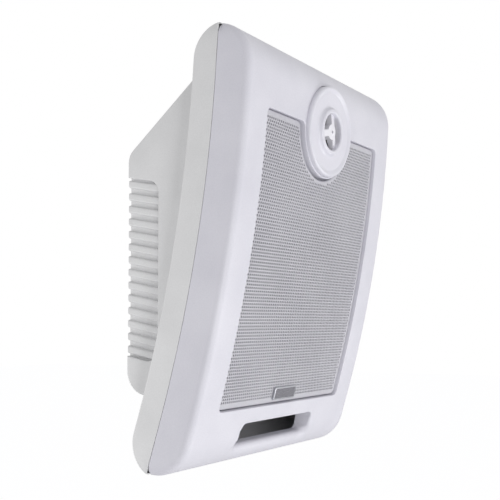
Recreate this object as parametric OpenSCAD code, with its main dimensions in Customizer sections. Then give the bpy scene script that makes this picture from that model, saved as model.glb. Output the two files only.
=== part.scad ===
// Two-way wall speaker: a bowed front slab that leans out over the room, on a ribbed box that meets the wall.
// +Z is up and -Y is the front. The origin is the middle of the flat back, on the wall.
// Heights called h in the slab's own frame run from the seam between its two halves towards the front.

/* [Slab] */
// Width of the slab
slab_w = 200; // [180:1:240]
// Height of the slab, measured straight from end to end of the seam
slab_h = 266; // [256:1:320]
// Radius of the bow that the seam follows
seam_r = 870; // [700:10:1400]
// Depth of the front half, from the seam to the front face
slab_front = 22.4; // [21:0.2:27]
// Depth of the back half, from the seam to its rear face
slab_back = 17.4; // [15:0.2:22]
// Radius of the rolled ends of the front half
front_end_r = 27; // [24:0.5:32]
// Radius of the rolled ends of the back half
back_end_r = 20; // [18:0.5:24]
// Rounding of the front edges
front_edge_r = 4.5; // [3:0.1:7]
// Rounding of the rear edges
back_edge_r = 1.6; // [1:0.1:3]
// Draft of each half's sides, from the seam to its face
slab_draft = 0.7; // [0:0.1:1.5]
// Wall of both halves
slab_wall = 3; // [2.4:0.1:4]
// Open line between the two halves
seam_gap = 0.4; // [0.2:0.1:0.8]

/* [Lean] */
// Angle by which the slab looks down
slab_tilt = 11.2; // [6:0.2:14]
// Distance from the wall to the middle of the seam
slab_reach = 60.8; // [58:0.2:80]
// Height of the middle of the seam over the middle of the flat back
slab_rise = 5; // [0:0.5:10]

/* [Wall box] */
// Width of the box
box_w = 176; // [170:1:190]
// Height of the back's upper corner over the origin
box_top = 69.4; // [62:0.2:75]
// Depth of the back's lower corner under the origin
box_bottom = 79; // [74:0.5:90]
// Slope of the box's top, up towards the front
box_slope = 39.4; // [32:0.2:46]
// Rounding of the upper back corner
box_top_r = 10; // [6:0.5:14]
// Rounding of the lower back corner
box_bottom_r = 15; // [8:0.5:18]
// Rounding of the upright back edges
box_side_r = 3; // [1.5:0.5:5]
// Wall of the box
box_wall = 3; // [2.4:0.1:4]

/* [Ribs] */
// Number of ribs on each side
rib_count = 14; // [8:1:18]
// Spacing of the ribs
rib_pitch = 7.9; // [6:0.1:10]
// Height of a rib at its tip
rib_tip = 3.8; // [2.5:0.1:5]
// Height of a rib at its foot
rib_foot = 5.2; // [4:0.1:6.5]
// How far the ribs' tips lie inside the box's side
rib_inset = 1.4; // [0.5:0.1:2]
// Depth of the grooves between the ribs
rib_depth = 2.2; // [1:0.1:3]
// Reach of the ribbed panel from the wall
rib_reach = 24.2; // [18:0.2:30]
// Rounding of the panel's front corners
rib_corner_r = 8; // [4:0.5:11]

/* [Grille] */
// Width of the pocket that the grille lies in
pocket_w = 152.4; // [140:0.2:160]
// Top of the pocket, over the middle of the slab
pocket_top = 89.8; // [86:0.2:94]
// Bottom of the pocket, under the middle of the slab
pocket_bottom = 91.5; // [86:0.2:94]
// Corner radius of the pocket
pocket_r = 3.6; // [2:0.1:8]
// Depth of the grille's face under the front face
grille_depth = 2.35; // [1:0.05:3.5]
// Sheet thickness of the grille
grille_t = 1; // [0.8:0.1:1.5]
// Depth of the grille's folded edge
grille_fold = 2.6; // [2:0.1:4]
// Open line round the grille
grille_gap = 0.5; // [0.3:0.1:1]
// Width of the ledge that carries the grille
ledge_w = 3.6; // [2.5:0.1:6]

/* [Badge] */
// Width of the plain badge
badge_w = 27.4; // [16:0.2:36]
// Height of the plain badge
badge_h = 8.4; // [5:0.2:12]
// Thickness of the badge
badge_t = 1.6; // [1:0.1:2.5]
// Bare margin between the badge and the grille's lower edge
badge_margin = 2.2; // [1.5:0.1:6]

/* [Slot port] */
// Width of the slot
slot_w = 90; // [70:1:110]
// Height of the slot
slot_h = 14.8; // [10:0.2:18]
// Middle of the slot, under the middle of the slab
slot_drop = 108.8; // [107:0.2:112]
// Corner radius of the slot
slot_r = 4.5; // [2:0.5:6]
// Rounding of the slot's lower lip
slot_lip_r = 7; // [4:0.5:9]

/* [Tweeter] */
// Place of the tweeter, measured up the bow from the middle
tweeter_v = 87; // [84:0.5:90]
// Radius of the tweeter's disc
disc_r = 29.5; // [27:0.1:31]
// How far the disc's rim stands proud of the front face
disc_proud = 2.8; // [1.5:0.1:4]
// Wall of the collar round the disc
collar_wall = 3.8; // [2.5:0.1:5]
// Radius of the throat
throat_r = 12.3; // [10:0.1:13]
// Radius of the dome's voice coil
dome_r = 12.6; // [12.4:0.1:13]
// Clearance round the disc
disc_clear = 0.15; // [0.1:0.05:0.3]

/* [Woofer] */
// Place of the woofer, under the middle of the slab
woofer_drop = 19; // [15:0.5:21]
// Outer radius of the woofer's frame
frame_r = 64.5; // [60:0.5:67]
// Outer radius of the paper cone
cone_r = 45.5; // [42:0.5:48]
// Width of the surround's half roll
roll_w = 9; // [7:0.5:10]
// Radius of the voice coil's former
coil_r = 12.8; // [12:0.1:14]
// Radius of the magnet
magnet_r = 35; // [30:0.5:38]
// Thickness of the magnet
magnet_t = 12; // [8:0.5:13]
// Depth from the frame's face to the magnet's front plate
basket_depth = 26; // [24:0.5:28]
// Travel of the cone each way
cone_travel = 3; // [1:0.5:4]
// Clearance each side of the voice coil
coil_gap = 0.4; // [0.3:0.05:0.6]

/* [Terminals] */
// Width of the terminal cup's recess
cup_w = 49; // [44:0.5:56]
// Height of the recess
cup_h = 21; // [18:0.5:22]
// Depth of the recess
cup_depth = 15; // [12:0.5:18]
// Middle of the recess over the origin
cup_rise = 47; // [46:0.5:49]
// Radius of the levers' hinge pegs
lever_pin_r = 1.25; // [1:0.05:1.5]
// Running clearance of the hinge pegs
lever_clear = 0.05; // [0.03:0.01:0.08]

/* [Wall fixing] */
// Distance between the two keyholes
keyhole_spacing = 124; // [100:1:130]
// Height of the keyholes' narrow ends over the origin
keyhole_rise = 44; // [30:1:48]
// Radius of the round entry
keyhole_entry_r = 4.5; // [3.5:0.1:5.5]
// Radius of the narrow end
keyhole_slot_r = 2.25; // [1.8:0.05:3]
// Drop of the entry under the narrow end
keyhole_drop = 10; // [8:0.5:14]

/* [Screws] */
// Distance of the housing screws from the middle line
case_screw_x = 92.4; // [90:0.2:93]
// Height of the upper and lower housing screws from the middle
case_screw_z = 103; // [90:1:105]
// Radius of the screws' threads
screw_r = 1.5; // [1.2:0.1:2]
// Radius of the screws' heads
screw_head_r = 2.9; // [2.5:0.1:3.2]
// Thickness of the screws' heads
screw_head_t = 2; // [1.2:0.1:2.4]

/* [Hidden] */
$fn = 64;
bow_fn = 256;          // facets of a full turn at the bow's radius
roll_fn = 96;          // facets of a full turn at the rolled ends
eps = 0.01;            // overlap that lets a cut run clean through a face
far = 40;              // longer than any cut through the slab

// Heights inside the slab
bezel_seam_h = seam_gap / 2;
cabinet_seam_h = -seam_gap / 2;
grille_face_h = slab_front - grille_depth;
ledge_h = grille_face_h - grille_fold;
baffle_t = 3;
baffle_h = 5;                          // rear face of the baffle
collar_r = disc_r + disc_clear + collar_wall;
tub_wall = 2.2;
pocket_h = pocket_top + pocket_bottom;
pocket_mid = (pocket_top - pocket_bottom) / 2;
boss_wall = 2.6;
thread_clear = 0.05;                   // between a screw's thread and the hole it is driven into
pilot_r = screw_r - 0.2;               // hole that a screw is driven into
pass_r = screw_r + 0.2;                // hole that a screw passes through
small_r = screw_r - 0.4;               // pilot hole of the small screws

// A point on the bow, given by its run v along the seam
function run_angle(v) = v / seam_r * 180 / PI;
// Height over the seam plane of the bow at offset off, z up from its middle
function bow_h(off, z) = sqrt(pow(seam_r + off, 2) - z * z) - seam_r;
function unit(v) = v / norm(v);

// The points of one rounded corner b between its neighbours a and c
function corner(a, b, c, r, n) =
    r <= 0 ? [b] :
    let (u = unit(a - b), v = unit(c - b), half = acos(u * v) / 2,
         o = b + unit(u + v) * r / sin(half),
         p = b + u * r / tan(half) - o, q = b + v * r / tan(half) - o,
         from = atan2(p[1], p[0]), turn = atan2(q[1], q[0]) - from,
         arc = turn > 180 ? turn - 360 : turn < -180 ? turn + 360 : turn)
    [for (i = [0 : n]) o + r * [cos(from + arc * i / n), sin(from + arc * i / n)]];

// An outline with each corner rounded by its own radius
function rounded(pts, radii, n = 6) =
    [for (i = [0 : len(pts) - 1])
        each corner(pts[(i + len(pts) - 1) % len(pts)], pts[i], pts[(i + 1) % len(pts)], radii[i], n)];

module round_rect(w, h, r, n = 6)
    polygon(rounded([[-w / 2, -h / 2], [w / 2, -h / 2], [w / 2, h / 2], [-w / 2, h / 2]], [r, r, r, r], n));

// Extrudes a side view, drawn as [y, z], across the speaker
module across(w) rotate([90, 0, 90]) linear_extrude(w, center = true) children();

// Extrudes a front view, drawn as [x, z], from height h0 to height h1
module raised(h0, h1) rotate([90, 0, 0]) translate([0, 0, h0]) linear_extrude(h1 - h0) children();

// Turns a profile, drawn as [radius, h], about the line that points to the front
module turned() rotate([90, 0, 0]) rotate_extrude() children();

// Sweeps a profile, drawn as [radius, x], about the x axis, from straight ahead upwards
module swept(angle, fn) rotate([90, 0, -90]) rotate_extrude(angle = angle, $fn = fn) children();

module on_slab() translate([0, -slab_reach, slab_rise]) rotate([slab_tilt, 0, 0]) children();
module on_bow(v) translate([0, seam_r, 0]) rotate([-run_angle(v), 0, 0]) translate([0, -seam_r, 0]) children();
module on_tweeter() on_slab() on_bow(tweeter_v) children();
module on_woofer() on_slab() translate([0, 0, -woofer_drop]) children();

// Everything behind the bow at a given offset from the seam
module behind_bow(off) translate([0, seam_r, 0]) rotate([0, 90, 0]) cylinder(r = seam_r + off, h = 2 * slab_w, center = true, $fn = bow_fn);

// The section of one half: k runs from the centre of its rolled ends out to its face
function half_section(depth, end_r, edge, inset) =
    let (k1 = end_r - inset, side = slab_w / 2 - inset, foot = side + slab_draft * (end_r / depth - 1),
         top = side - slab_draft * k1 / end_r, e = max(edge - inset, 0.5))
    rounded([[0, -foot], [k1, -top], [k1, top], [0, foot]], [0, e, e, 0]);

// One half of the slab as a solid body: facing is 1 for the front half and -1 for the back half.
// Its bow and its rolled ends share one section, and inset shrinks it all round for a wall.
module half_body(facing, depth, end_r, edge, inset = 0) {
    base = seam_r + facing * (depth - end_r);
    roll_angle = asin(slab_h / 2 / seam_r) - acos((base * base + seam_r * seam_r - end_r * end_r) / (2 * base * seam_r));
    for (end = [0, 1]) mirror([0, 0, end]) intersection() {
        translate([0, seam_r, 0]) rotate([-roll_angle, 0, 0]) {
            mirror([0, 0, 1]) swept(roll_angle + 1, bow_fn)
                translate([base, 0]) mirror([facing < 0 ? 1 : 0, 0]) polygon(half_section(depth, end_r, edge, inset));
            translate([0, -base, 0]) mirror([0, facing < 0 ? 1 : 0, 0]) swept(100, roll_fn)
                polygon(half_section(depth, end_r, edge, inset));
        }
        translate([-slab_w, -far, 0]) cube([2 * slab_w, 3 * far, slab_h]);
    }
}
module front_half(inset = 0) half_body(1, slab_front, front_end_r, front_edge_r, inset);
module back_half(inset = 0) half_body(-1, slab_back, back_end_r, back_edge_r, inset);

module case_screw_places() for (x = [-1, 1], z = [-1, 0, 1]) translate([x * case_screw_x, 0, z * case_screw_z]) children();

module pocket_plan(grow) translate([0, pocket_mid])
    round_rect(pocket_w + 2 * grow, pocket_h + 2 * grow, max(pocket_r + grow, 1));

module slot_plan(grow) translate([0, -slot_drop]) round_rect(slot_w + 2 * grow, slot_h + 2 * grow, slot_r + grow);

// Screw places
tweeter_screw_pcr = disc_r + 7;
woofer_screw_pcr = frame_r - 4;
module tweeter_screw_places() for (a = [45 : 90 : 315]) rotate([0, a, 0]) translate([tweeter_screw_pcr, 0, 0]) children();
module woofer_screw_places() for (a = [45 : 90 : 315]) rotate([0, a, 0]) translate([woofer_screw_pcr, 0, 0]) children();

// The front half: a bowed, rolled skin with a pocket for the grille, a collar for the tweeter,
// a flat baffle for the woofer and a short duct behind the slot
module front_bezel() color("#e8e7ee") on_slab() difference() {
    union() {
        difference() {
            front_half();
            front_half(slab_wall);
        }
        intersection() {
            behind_bow(slab_front - slab_wall / 2);
            union() {
                raised(bow_h(ledge_h, pocket_bottom) - tub_wall, far) pocket_plan(tub_wall);
                raised(baffle_h, slab_front) pocket_plan(tub_wall - ledge_w);
                raised(slot_duct_h, far) slot_plan(slab_wall - 1);
                case_screw_places() raised(0, far) circle(screw_r + boss_wall);
                on_bow(tweeter_v) {
                    raised(baffle_h, far) circle(collar_r);
                    tweeter_screw_places() raised(baffle_h, baffle_h + 10) circle(screw_r + boss_wall);
                    raised(baffle_h, baffle_h + baffle_t) circle(tweeter_screw_pcr + screw_r + boss_wall);
                }
            }
        }
    }
    behind_bow(bezel_seam_h);
    difference() {
        union() {
            difference() {
                raised(0, far) pocket_plan(0);
                behind_bow(ledge_h);
            }
            difference() {
                raised(baffle_h + baffle_t, far) pocket_plan(-ledge_w);
                translate([0, 0, -woofer_drop]) woofer_screw_places() raised(0, far / 3) circle(screw_r + boss_wall);
            }
        }
        on_bow(tweeter_v) raised(0, far) circle(collar_r);
        on_bow(tweeter_v) tweeter_screw_places() raised(0, baffle_h + 10) circle(screw_r + boss_wall);
    }
    on_bow(tweeter_v) {
        raised(0, far) circle(disc_r + disc_clear);
        tweeter_screw_places() raised(0, baffle_h + 8) circle(pilot_r);
    }
    translate([0, 0, -woofer_drop]) {
        raised(0, far) circle(cone_r + roll_w + 1);
        woofer_screw_places() raised(0, baffle_h + 8) circle(pilot_r);
    }
    raised(0, far) slot_plan(0);
    slot_lip();
    case_screw_places() raised(0, 13) circle(pilot_r);
}

slot_duct_h = 4;         // rear end of the duct
// The rounding that lets the slot's floor run out to the front face
module slot_lip() {
    floor_z = -slot_drop - slot_h / 2;
    lip_h = bow_h(slab_front, slot_drop + slot_h / 2);
    across(slot_w - 2 * slot_r) difference() {
        translate([-lip_h - 2, floor_z - slot_lip_r]) square([slot_lip_r + 2, slot_lip_r + 1]);
        translate([-lip_h + slot_lip_r, floor_z - slot_lip_r]) circle(slot_lip_r);
    }
}

// The side view of the box, shrunk by inset
function box_outline(inset) =
    let (rise = tan(box_slope), shift = inset / cos(box_slope), front = -slab_reach - 2 * slab_front,
         top = box_top - shift, back = -inset, bottom = -box_bottom + inset)
    rounded([[back, bottom], [back, top - back * rise], [front, top - front * rise], [front, bottom]],
            [box_bottom_r - inset, box_top_r - inset, 0, 0], 8);

rib_floor = rib_inset + rib_depth;
rib_root = 0.5;          // how far the ribs grow into the panel behind them
// The side view of the ribbed panel, with its top and bottom along the slab's own draw
function rib_outline(back) =
    let (fall = tan(slab_tilt), half = rib_count * rib_pitch / 2, front = -rib_reach)
    rounded([[back, -half + back * fall], [back, half + back * fall], [front, half + front * fall],
             [front, -half + front * fall]], [0, 0, rib_corner_r, rib_corner_r]);

module ribs() for (side = [0, 1]) mirror([side, 0, 0]) intersection() {
    translate([box_w / 2 - rib_inset - (rib_depth + rib_root) / 2, 0, 0])
        across(rib_depth + rib_root) polygon(rib_outline(0));
    for (i = [0 : rib_count - 1])
        translate([box_w / 2 - rib_inset, 0, (i - (rib_count - 1) / 2) * rib_pitch])
            rotate([90 + slab_tilt, 0, 0]) linear_extrude(2 * rib_reach + 20, center = true)
                polygon([[0, -rib_tip / 2], [0, rib_tip / 2], [-rib_depth - rib_root, rib_foot / 2],
                         [-rib_depth - rib_root, -rib_foot / 2]]);
}

// The plan view of the box, which rounds its upright back edges
module box_plan(inset, r) {
    w = box_w / 2 - inset;
    linear_extrude(4 * slab_h, center = true)
        polygon(rounded([[-w, -2 * slab_reach], [w, -2 * slab_reach], [w, -inset], [-w, -inset]], [0, 0, r, r]));
}

keyhole_pocket_depth = 7;
module keyhole_plan() {
    circle(keyhole_slot_r);
    translate([-keyhole_slot_r, -keyhole_drop]) square([2 * keyhole_slot_r, keyhole_drop]);
    translate([0, -keyhole_drop]) circle(keyhole_entry_r);
}
module keyhole_places() for (x = [-1, 1]) translate([x * keyhole_spacing / 2, 0, keyhole_rise]) children();

// Terminal recess
cup_wall = 1.5;
cup_flange = 8;
cup_flange_t = 2.2;
cup_sunk = 0.4;          // how far the tray's flange lies inside the back
cup_rebate = cup_sunk + cup_flange_t;
cup_head_t = 1.2;
cup_head_r = screw_head_r - 1.1;
cup_clear = 0.2;
cup_frame_t = 3;
module on_cup() translate([0, 0, cup_rise]) children();
module cup_screw_places() for (x = [-1, 1]) translate([x * (cup_w + cup_wall + cup_flange) / 2, 0, 0]) children();

// Crossover board places
board_w = 36;
board_h = 62;
board_t = 1.6;
board_x = -62;
board_z = -8;
board_stand = 4;
board_y = -box_wall - board_stand;
module board_screw_places() for (x = [-1, 1], z = [-1, 1])
    translate([board_x + x * (board_w / 2 - 4), 0, board_z + z * (board_h / 2 - 4)]) children();

// The back half: the slab's rear skin grown into the wall box, with ribs, keyholes and the terminal's rebate
module rear_cabinet() color("#d9d9da") difference() {
    union() {
        on_slab() difference() {
            back_half();
            back_half(slab_wall);
        }
        difference() {
            intersection() {
                across(box_w) polygon(box_outline(0));
                box_plan(0, box_side_r);
                on_slab() behind_bow(-slab_back + slab_wall / 2);
            }
            for (side = [-1, 1]) translate([side * (box_w / 2 - rib_floor + far / 2), 0, 0])
                across(far) polygon(rib_outline(far));
        }
        ribs();
        on_slab() intersection() {
            case_screw_places() raised(-far, 0) circle(screw_head_r + 1.4);
            difference() {
                back_half(slab_wall / 2);
                behind_bow(-slab_back + slab_wall / 2);
            }
        }
    }
    // The inside of the box, open into the slab
    difference() {
        intersection() {
            across(box_w - 2 * box_wall) polygon(box_outline(box_wall));
            on_slab() behind_bow(-slab_back + slab_wall + eps);
        }
        for (side = [-1, 1]) translate([side * (box_w / 2 - rib_floor - box_wall + far / 2), -rib_reach / 2, 0])
            cube([far, rib_reach + 2 * box_wall, 4 * slab_h], center = true);
        keyhole_places() raised(-box_wall - eps, keyhole_pocket_depth + 2)
            translate([0, -keyhole_drop / 2]) round_rect(2 * keyhole_entry_r + 6, keyhole_drop + 2 * keyhole_entry_r + 6, 4);
        on_cup() raised(-box_wall - eps, box_wall + cup_frame_t)
            round_rect(cup_w + 2 * cup_flange + 8, cup_h + 2 * cup_wall + 7, 3);
        board_screw_places() raised(0, box_wall + board_stand) circle(screw_r + 1.8);
    }
    on_slab() difference() {
        cube([3 * slab_w, far * 4, 3 * slab_h], center = true);
        behind_bow(cabinet_seam_h);
    }
    on_slab() case_screw_places() {
        raised(-far, far) circle(pass_r);
        raised(-far, case_head_h) circle(screw_head_r + 0.3);
    }
    on_slab() seam_ring(seam_groove);
    keyhole_places() {
        raised(-1, box_wall) keyhole_plan();
        raised(box_wall - eps, keyhole_pocket_depth)
            translate([0, -keyhole_drop / 2]) round_rect(2 * keyhole_entry_r + 2, keyhole_drop + 2 * keyhole_entry_r + 2, 3);
    }
    on_cup() {
        raised(-1, cup_rebate) round_rect(cup_w + 2 * cup_flange + 0.6, cup_h + 2 * cup_wall + 1.6, 2);
        raised(-1, far) round_rect(cup_w + 2 * cup_wall + 2 * cup_clear, cup_h + 2 * cup_wall + 2 * cup_clear, 1.5);
        cup_screw_places() raised(0, box_wall + cup_frame_t - 0.6) circle(small_r);
    }
    board_screw_places() raised(2, far / 4) circle(small_r);
}
case_head_h = -slab_back + 6;

// The seal lies in a groove in the back half's rim and fills the open line between the halves
seam_groove = 1.2;
seam_cord = 1.1;
module seam_ring(depth) intersection() {
    difference() {
        back_half((slab_wall - seam_cord) / 2);
        back_half((slab_wall + seam_cord) / 2);
    }
    difference() {
        behind_bow(bezel_seam_h - 0.02);
        behind_bow(cabinet_seam_h - depth);
    }
}
module seam_gasket() color("#3a3a3c") on_slab() seam_ring(seam_groove);

// The grille: bowed sheet steel with a folded edge, notched round the tweeter's collar
module grille() color("#a3a2a7") on_slab() difference() {
    intersection() {
        raised(0, far) pocket_plan(-grille_gap);
        behind_bow(grille_face_h);
    }
    behind_bow(ledge_h);
    difference() {
        intersection() {
            raised(0, far) pocket_plan(-grille_gap - grille_t);
            behind_bow(grille_face_h - grille_t);
        }
        on_bow(tweeter_v) raised(0, far) circle(collar_r + grille_gap + grille_t);
    }
    on_bow(tweeter_v) raised(0, far) circle(collar_r + grille_gap);
}

// A bare badge, held by two pegs that are pushed through the grille
badge_z = -pocket_bottom + grille_gap + badge_margin + badge_h / 2;
module badge() color("#b9bac0") on_slab() on_bow(badge_z)
    raised(grille_face_h + 0.05, grille_face_h + badge_t) round_rect(badge_w, badge_h, 0.9);

// The tweeter's moulded face: a rimmed disc on a tube, a lipped throat and a three-armed phase plug
disc_h = slab_front + disc_proud;
disc_skin = 2.2;
plug_h = disc_h - 8;
plug_t = 3;
tweeter_flange_t = 3;
dome_rise = 4.2;         // height of the dome over its seat
dome_gap = 0.8;          // between the dome's top and the plug
dome_seat_h = plug_h - plug_t - dome_rise - dome_gap;
lip_r = throat_r + 3.4;
lug_r = 4.2;
module tweeter_faceplate() color("#dedde6") on_tweeter() difference() {
    union() {
        turned() polygon(concat(
            [[throat_r, plug_h - plug_t], [throat_r, disc_h - 3], [throat_r + 0.6, disc_h - 0.9]],
            [for (a = [150 : -30 : 30]) [throat_r + 2.1 + 1.3 * cos(a), disc_h - 1.1 + 1.3 * sin(a)]],
            [[lip_r + 1, disc_h - 1.2], [disc_r - 6, disc_h - 0.9]],
            [for (a = [135 : -30 : -15]) [disc_r - 1.6 + 1.6 * cos(a), disc_h - 1.6 + 1.6 * sin(a)]],
            [[disc_r, baffle_h - tweeter_flange_t], [disc_r - disc_skin, baffle_h - tweeter_flange_t],
             [disc_r - disc_skin, disc_h - 5],
             [21, disc_h - 5], [21, dome_seat_h], [18.6, dome_seat_h], [18.6, disc_h - 5.4], [16.4, plug_h - plug_t]]));
        raised(baffle_h - tweeter_flange_t, baffle_h) difference() {
            union() {
                circle(disc_r + 2.5);
                for (a = [45 : 90 : 315]) rotate(a) {
                    translate([tweeter_screw_pcr, 0]) circle(lug_r);
                    translate([disc_r + 1, -lug_r]) square([tweeter_screw_pcr - disc_r - 1, 2 * lug_r]);
                }
            }
            circle(disc_r - disc_skin / 2);
        }
        phase_plug();
    }
    tweeter_screw_places() raised(0, far) circle(pass_r);
}

// Three arms at 90, 210 and 330 degrees, wide at the hub and at the throat's wall
module phase_plug() {
    hub_r = 4.6;
    raised(plug_h - plug_t, plug_h) difference() {
        union() {
            circle(hub_r);
            for (a = [90 : 120 : 330]) rotate(a)
                polygon([[0, 0.3 - hub_r], [hub_r + 1, -1.9], [throat_r - 3, -1.5], [throat_r + 0.5, -2.8],
                         [throat_r + 0.5, 2.8], [throat_r - 3, 1.5], [hub_r + 1, 1.9], [0, hub_r - 0.3]]);
        }
        circle(1.1);
    }
}

// The tweeter's motor, stacked behind its face
tweeter_plate_t = 3;
tweeter_magnet_t = 7;
tweeter_plate_h = dome_seat_h - 0.8;        // front of the top plate
tweeter_magnet_h = tweeter_plate_h - tweeter_plate_t;
tweeter_yoke_h = tweeter_magnet_h - tweeter_magnet_t;
module tweeter_diaphragm() color("#1d1d1f") on_tweeter() turned() polygon(concat(
    [[0, dome_seat_h + dome_rise]],
    [for (a = [12 : 12 : 60]) [dome_r * sin(a) / sin(60), dome_seat_h + 0.2 + (dome_rise - 0.2) * (2 * cos(a) - 1)]],
    [for (a = [150 : -30 : 30]) [dome_r + 2 + 1.6 * cos(a), dome_seat_h + 0.2 + 1.3 * sin(a)]],
    [[17, dome_seat_h], [20.6, dome_seat_h], [20.6, dome_seat_h - 0.8], [16.4, dome_seat_h - 0.8]],
    [for (a = [30 : 30 : 150]) [dome_r + 2 + 1.2 * cos(a), dome_seat_h - 0.3 + 1.1 * sin(a)]],
    [for (a = [60 : -12 : 12]) [(dome_r - 0.4) * sin(a) / sin(60), dome_seat_h - 0.2 + (dome_rise - 0.2) * (2 * cos(a) - 1)]],
    [[0, dome_seat_h + dome_rise - 0.4]]));
module tube(r0, r1, h0, h1) turned() translate([r0, h0]) square([r1 - r0, h1 - h0]);
module tweeter_voice_coil() color("#b0703a") on_tweeter()
    tube(dome_r - 0.1, dome_r + 0.3, tweeter_plate_h - 5, dome_seat_h - 0.1);
module tweeter_top_plate() color("#8c8f94") on_tweeter()
    tube(dome_r + 0.7, 24, tweeter_magnet_h, tweeter_plate_h);
module tweeter_magnet() color("#4a4a4d") on_tweeter() tube(15.5, 26, tweeter_yoke_h, tweeter_magnet_h);
module tweeter_yoke() color("#8c8f94") on_tweeter() {
    tube(0, 24, tweeter_yoke_h - tweeter_plate_t, tweeter_yoke_h);
    tube(0, dome_r - 0.5, tweeter_yoke_h - eps, tweeter_plate_h);
}

// The woofer, stacked back from the baffle
gasket_t = 1;
sheet_t = 1.2;
frame_h = baffle_h - gasket_t;              // front of the frame's flange
landing_h = frame_h - basket_depth;         // the frame's small end, on the magnet's front plate
front_plate_t = 5;
back_plate_t = 4;
magnet_h = landing_h - sheet_t - front_plate_t;
yoke_h = magnet_h - magnet_t;
pole_r = coil_r - 0.2 - coil_gap;
gap_r = coil_r + 0.4 + coil_gap;
spider_r = 34;
spider_h = landing_h + 7;
cone_neck_h = spider_h + 1.5;
cone_edge_h = frame_h - 0.6;
paper_t = 0.8;
function cone_h(r) = cone_neck_h + (cone_edge_h - cone_neck_h) * pow((r - coil_r) / (cone_r - coil_r), 0.85);

// Pressed steel: a flat flange, four windows, a ledge for the spider and a landing on the motor
module woofer_basket() color("#3c3d40") on_woofer() difference() {
    turned() polygon([[frame_r, frame_h], [frame_r, frame_h - sheet_t], [frame_r - 9.5, frame_h - sheet_t],
                      [spider_r + 3, spider_h - 1], [spider_r + 1, spider_h - 1 - sheet_t],
                      [spider_r - 2, spider_h - 1 - sheet_t], [spider_r - 3.4, landing_h - sheet_t],
                      [gap_r + 1, landing_h - sheet_t], [gap_r + 1, landing_h], [spider_r - 4.6, landing_h],
                      [spider_r - 3.2, spider_h - 1], [spider_r + 0.4, spider_h - 1],
                      [spider_r + 1.8, spider_h - 0.2], [frame_r - 9.5, frame_h]]);
    for (a = [0 : 90 : 270]) rotate([0, a, 0]) raised(landing_h, frame_h - 2.4)
        polygon([[spider_r + 3.6, -9], [frame_r - 11, -17], [frame_r - 8, 0], [frame_r - 11, 17], [spider_r + 3.6, 9]]);
    woofer_screw_places() raised(-far, far) circle(pass_r);
}
module woofer_gasket() color("#2a2a2b") on_woofer() difference() {
    tube(cone_r + roll_w + 3.2, frame_r, frame_h, baffle_h);
    woofer_screw_places() raised(-far, far) circle(pass_r);
}
surround_t = 0.7;
module woofer_surround() color("#242425") on_woofer() {
    mid = cone_r + roll_w / 2;
    turned() polygon(concat(
        [[cone_r - 2.5, frame_h + surround_t]],
        [for (a = [180 : -15 : 0]) [mid + roll_w / 2 * cos(a), frame_h + surround_t + roll_w / 2 * sin(a)]],
        [[cone_r + roll_w + 3, frame_h + surround_t], [cone_r + roll_w + 3, frame_h + eps]],
        [for (a = [0 : 15 : 180]) [mid + (roll_w / 2 - surround_t) * cos(a), frame_h + eps + (roll_w / 2 - surround_t) * sin(a)]],
        [[cone_r - 2.5, frame_h + eps]]));
}
module woofer_cone() color("#303032") on_woofer() turned() polygon(concat(
    [for (i = [0 : 12]) let (r = coil_r + 0.5 + (cone_r - coil_r - 0.5) * i / 12) [r, cone_h(r) + paper_t / 2]],
    [for (i = [12 : -1 : 0]) let (r = coil_r + 0.5 + (cone_r - coil_r - 0.5) * i / 12) [r, cone_h(r) - paper_t / 2]]));
cap_r = 17;
cap_rise = 5.5;
module woofer_dust_cap() color("#28282a") on_woofer() {
    ball_r = (cap_r * cap_r + cap_rise * cap_rise) / (2 * cap_rise);
    foot = cone_h(cap_r) + paper_t / 2 + 0.5;
    span = asin(cap_r / ball_r);
    turned() polygon(concat(
        [for (i = [0 : 8]) [ball_r * sin(span * i / 8), foot + cap_rise - ball_r + ball_r * cos(span * i / 8)]],
        [for (i = [8 : -1 : 0]) [(ball_r - 0.6) * sin(span * i / 8), foot + cap_rise - ball_r + (ball_r - 0.6) * cos(span * i / 8)]]));
}
module woofer_voice_coil() color("#b0703a") on_woofer() turned() {
    translate([coil_r - 0.2, magnet_h - cone_travel - 1]) square([0.2 + eps, cone_neck_h - magnet_h + cone_travel + 1]);
    translate([coil_r, magnet_h - cone_travel]) square([0.4, front_plate_t + 2 * cone_travel]);
}
// The spider is a corrugated disc, glued to the former and to the frame's ledge
module woofer_spider() color("#b98a4b") on_woofer() {
    waves = 6;
    top = [for (i = [0 : 2 * waves]) [coil_r + 0.5 + (spider_r - 2 - coil_r - 0.5) * i / (2 * waves),
                                      spider_h - 0.2 + (i % 2 == 0 ? 0 : 1.2)]];
    turned() polygon(concat(top, [[spider_r, spider_h - 0.2], [spider_r, spider_h - 0.7]],
        [for (i = [2 * waves : -1 : 0]) top[i] - [0, 0.5]]));
}
module woofer_top_plate() color("#9b9ea3") on_woofer() tube(gap_r, magnet_r - 2.5, magnet_h, magnet_h + front_plate_t);
module woofer_magnet() color("#454548") on_woofer() tube(gap_r + 3, magnet_r, yoke_h, magnet_h);
module woofer_yoke() color("#9b9ea3") on_woofer() {
    tube(0, magnet_r - 2.5, yoke_h - back_plate_t, yoke_h);
    tube(0, pole_r, yoke_h - eps, magnet_h + front_plate_t);
}

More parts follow.
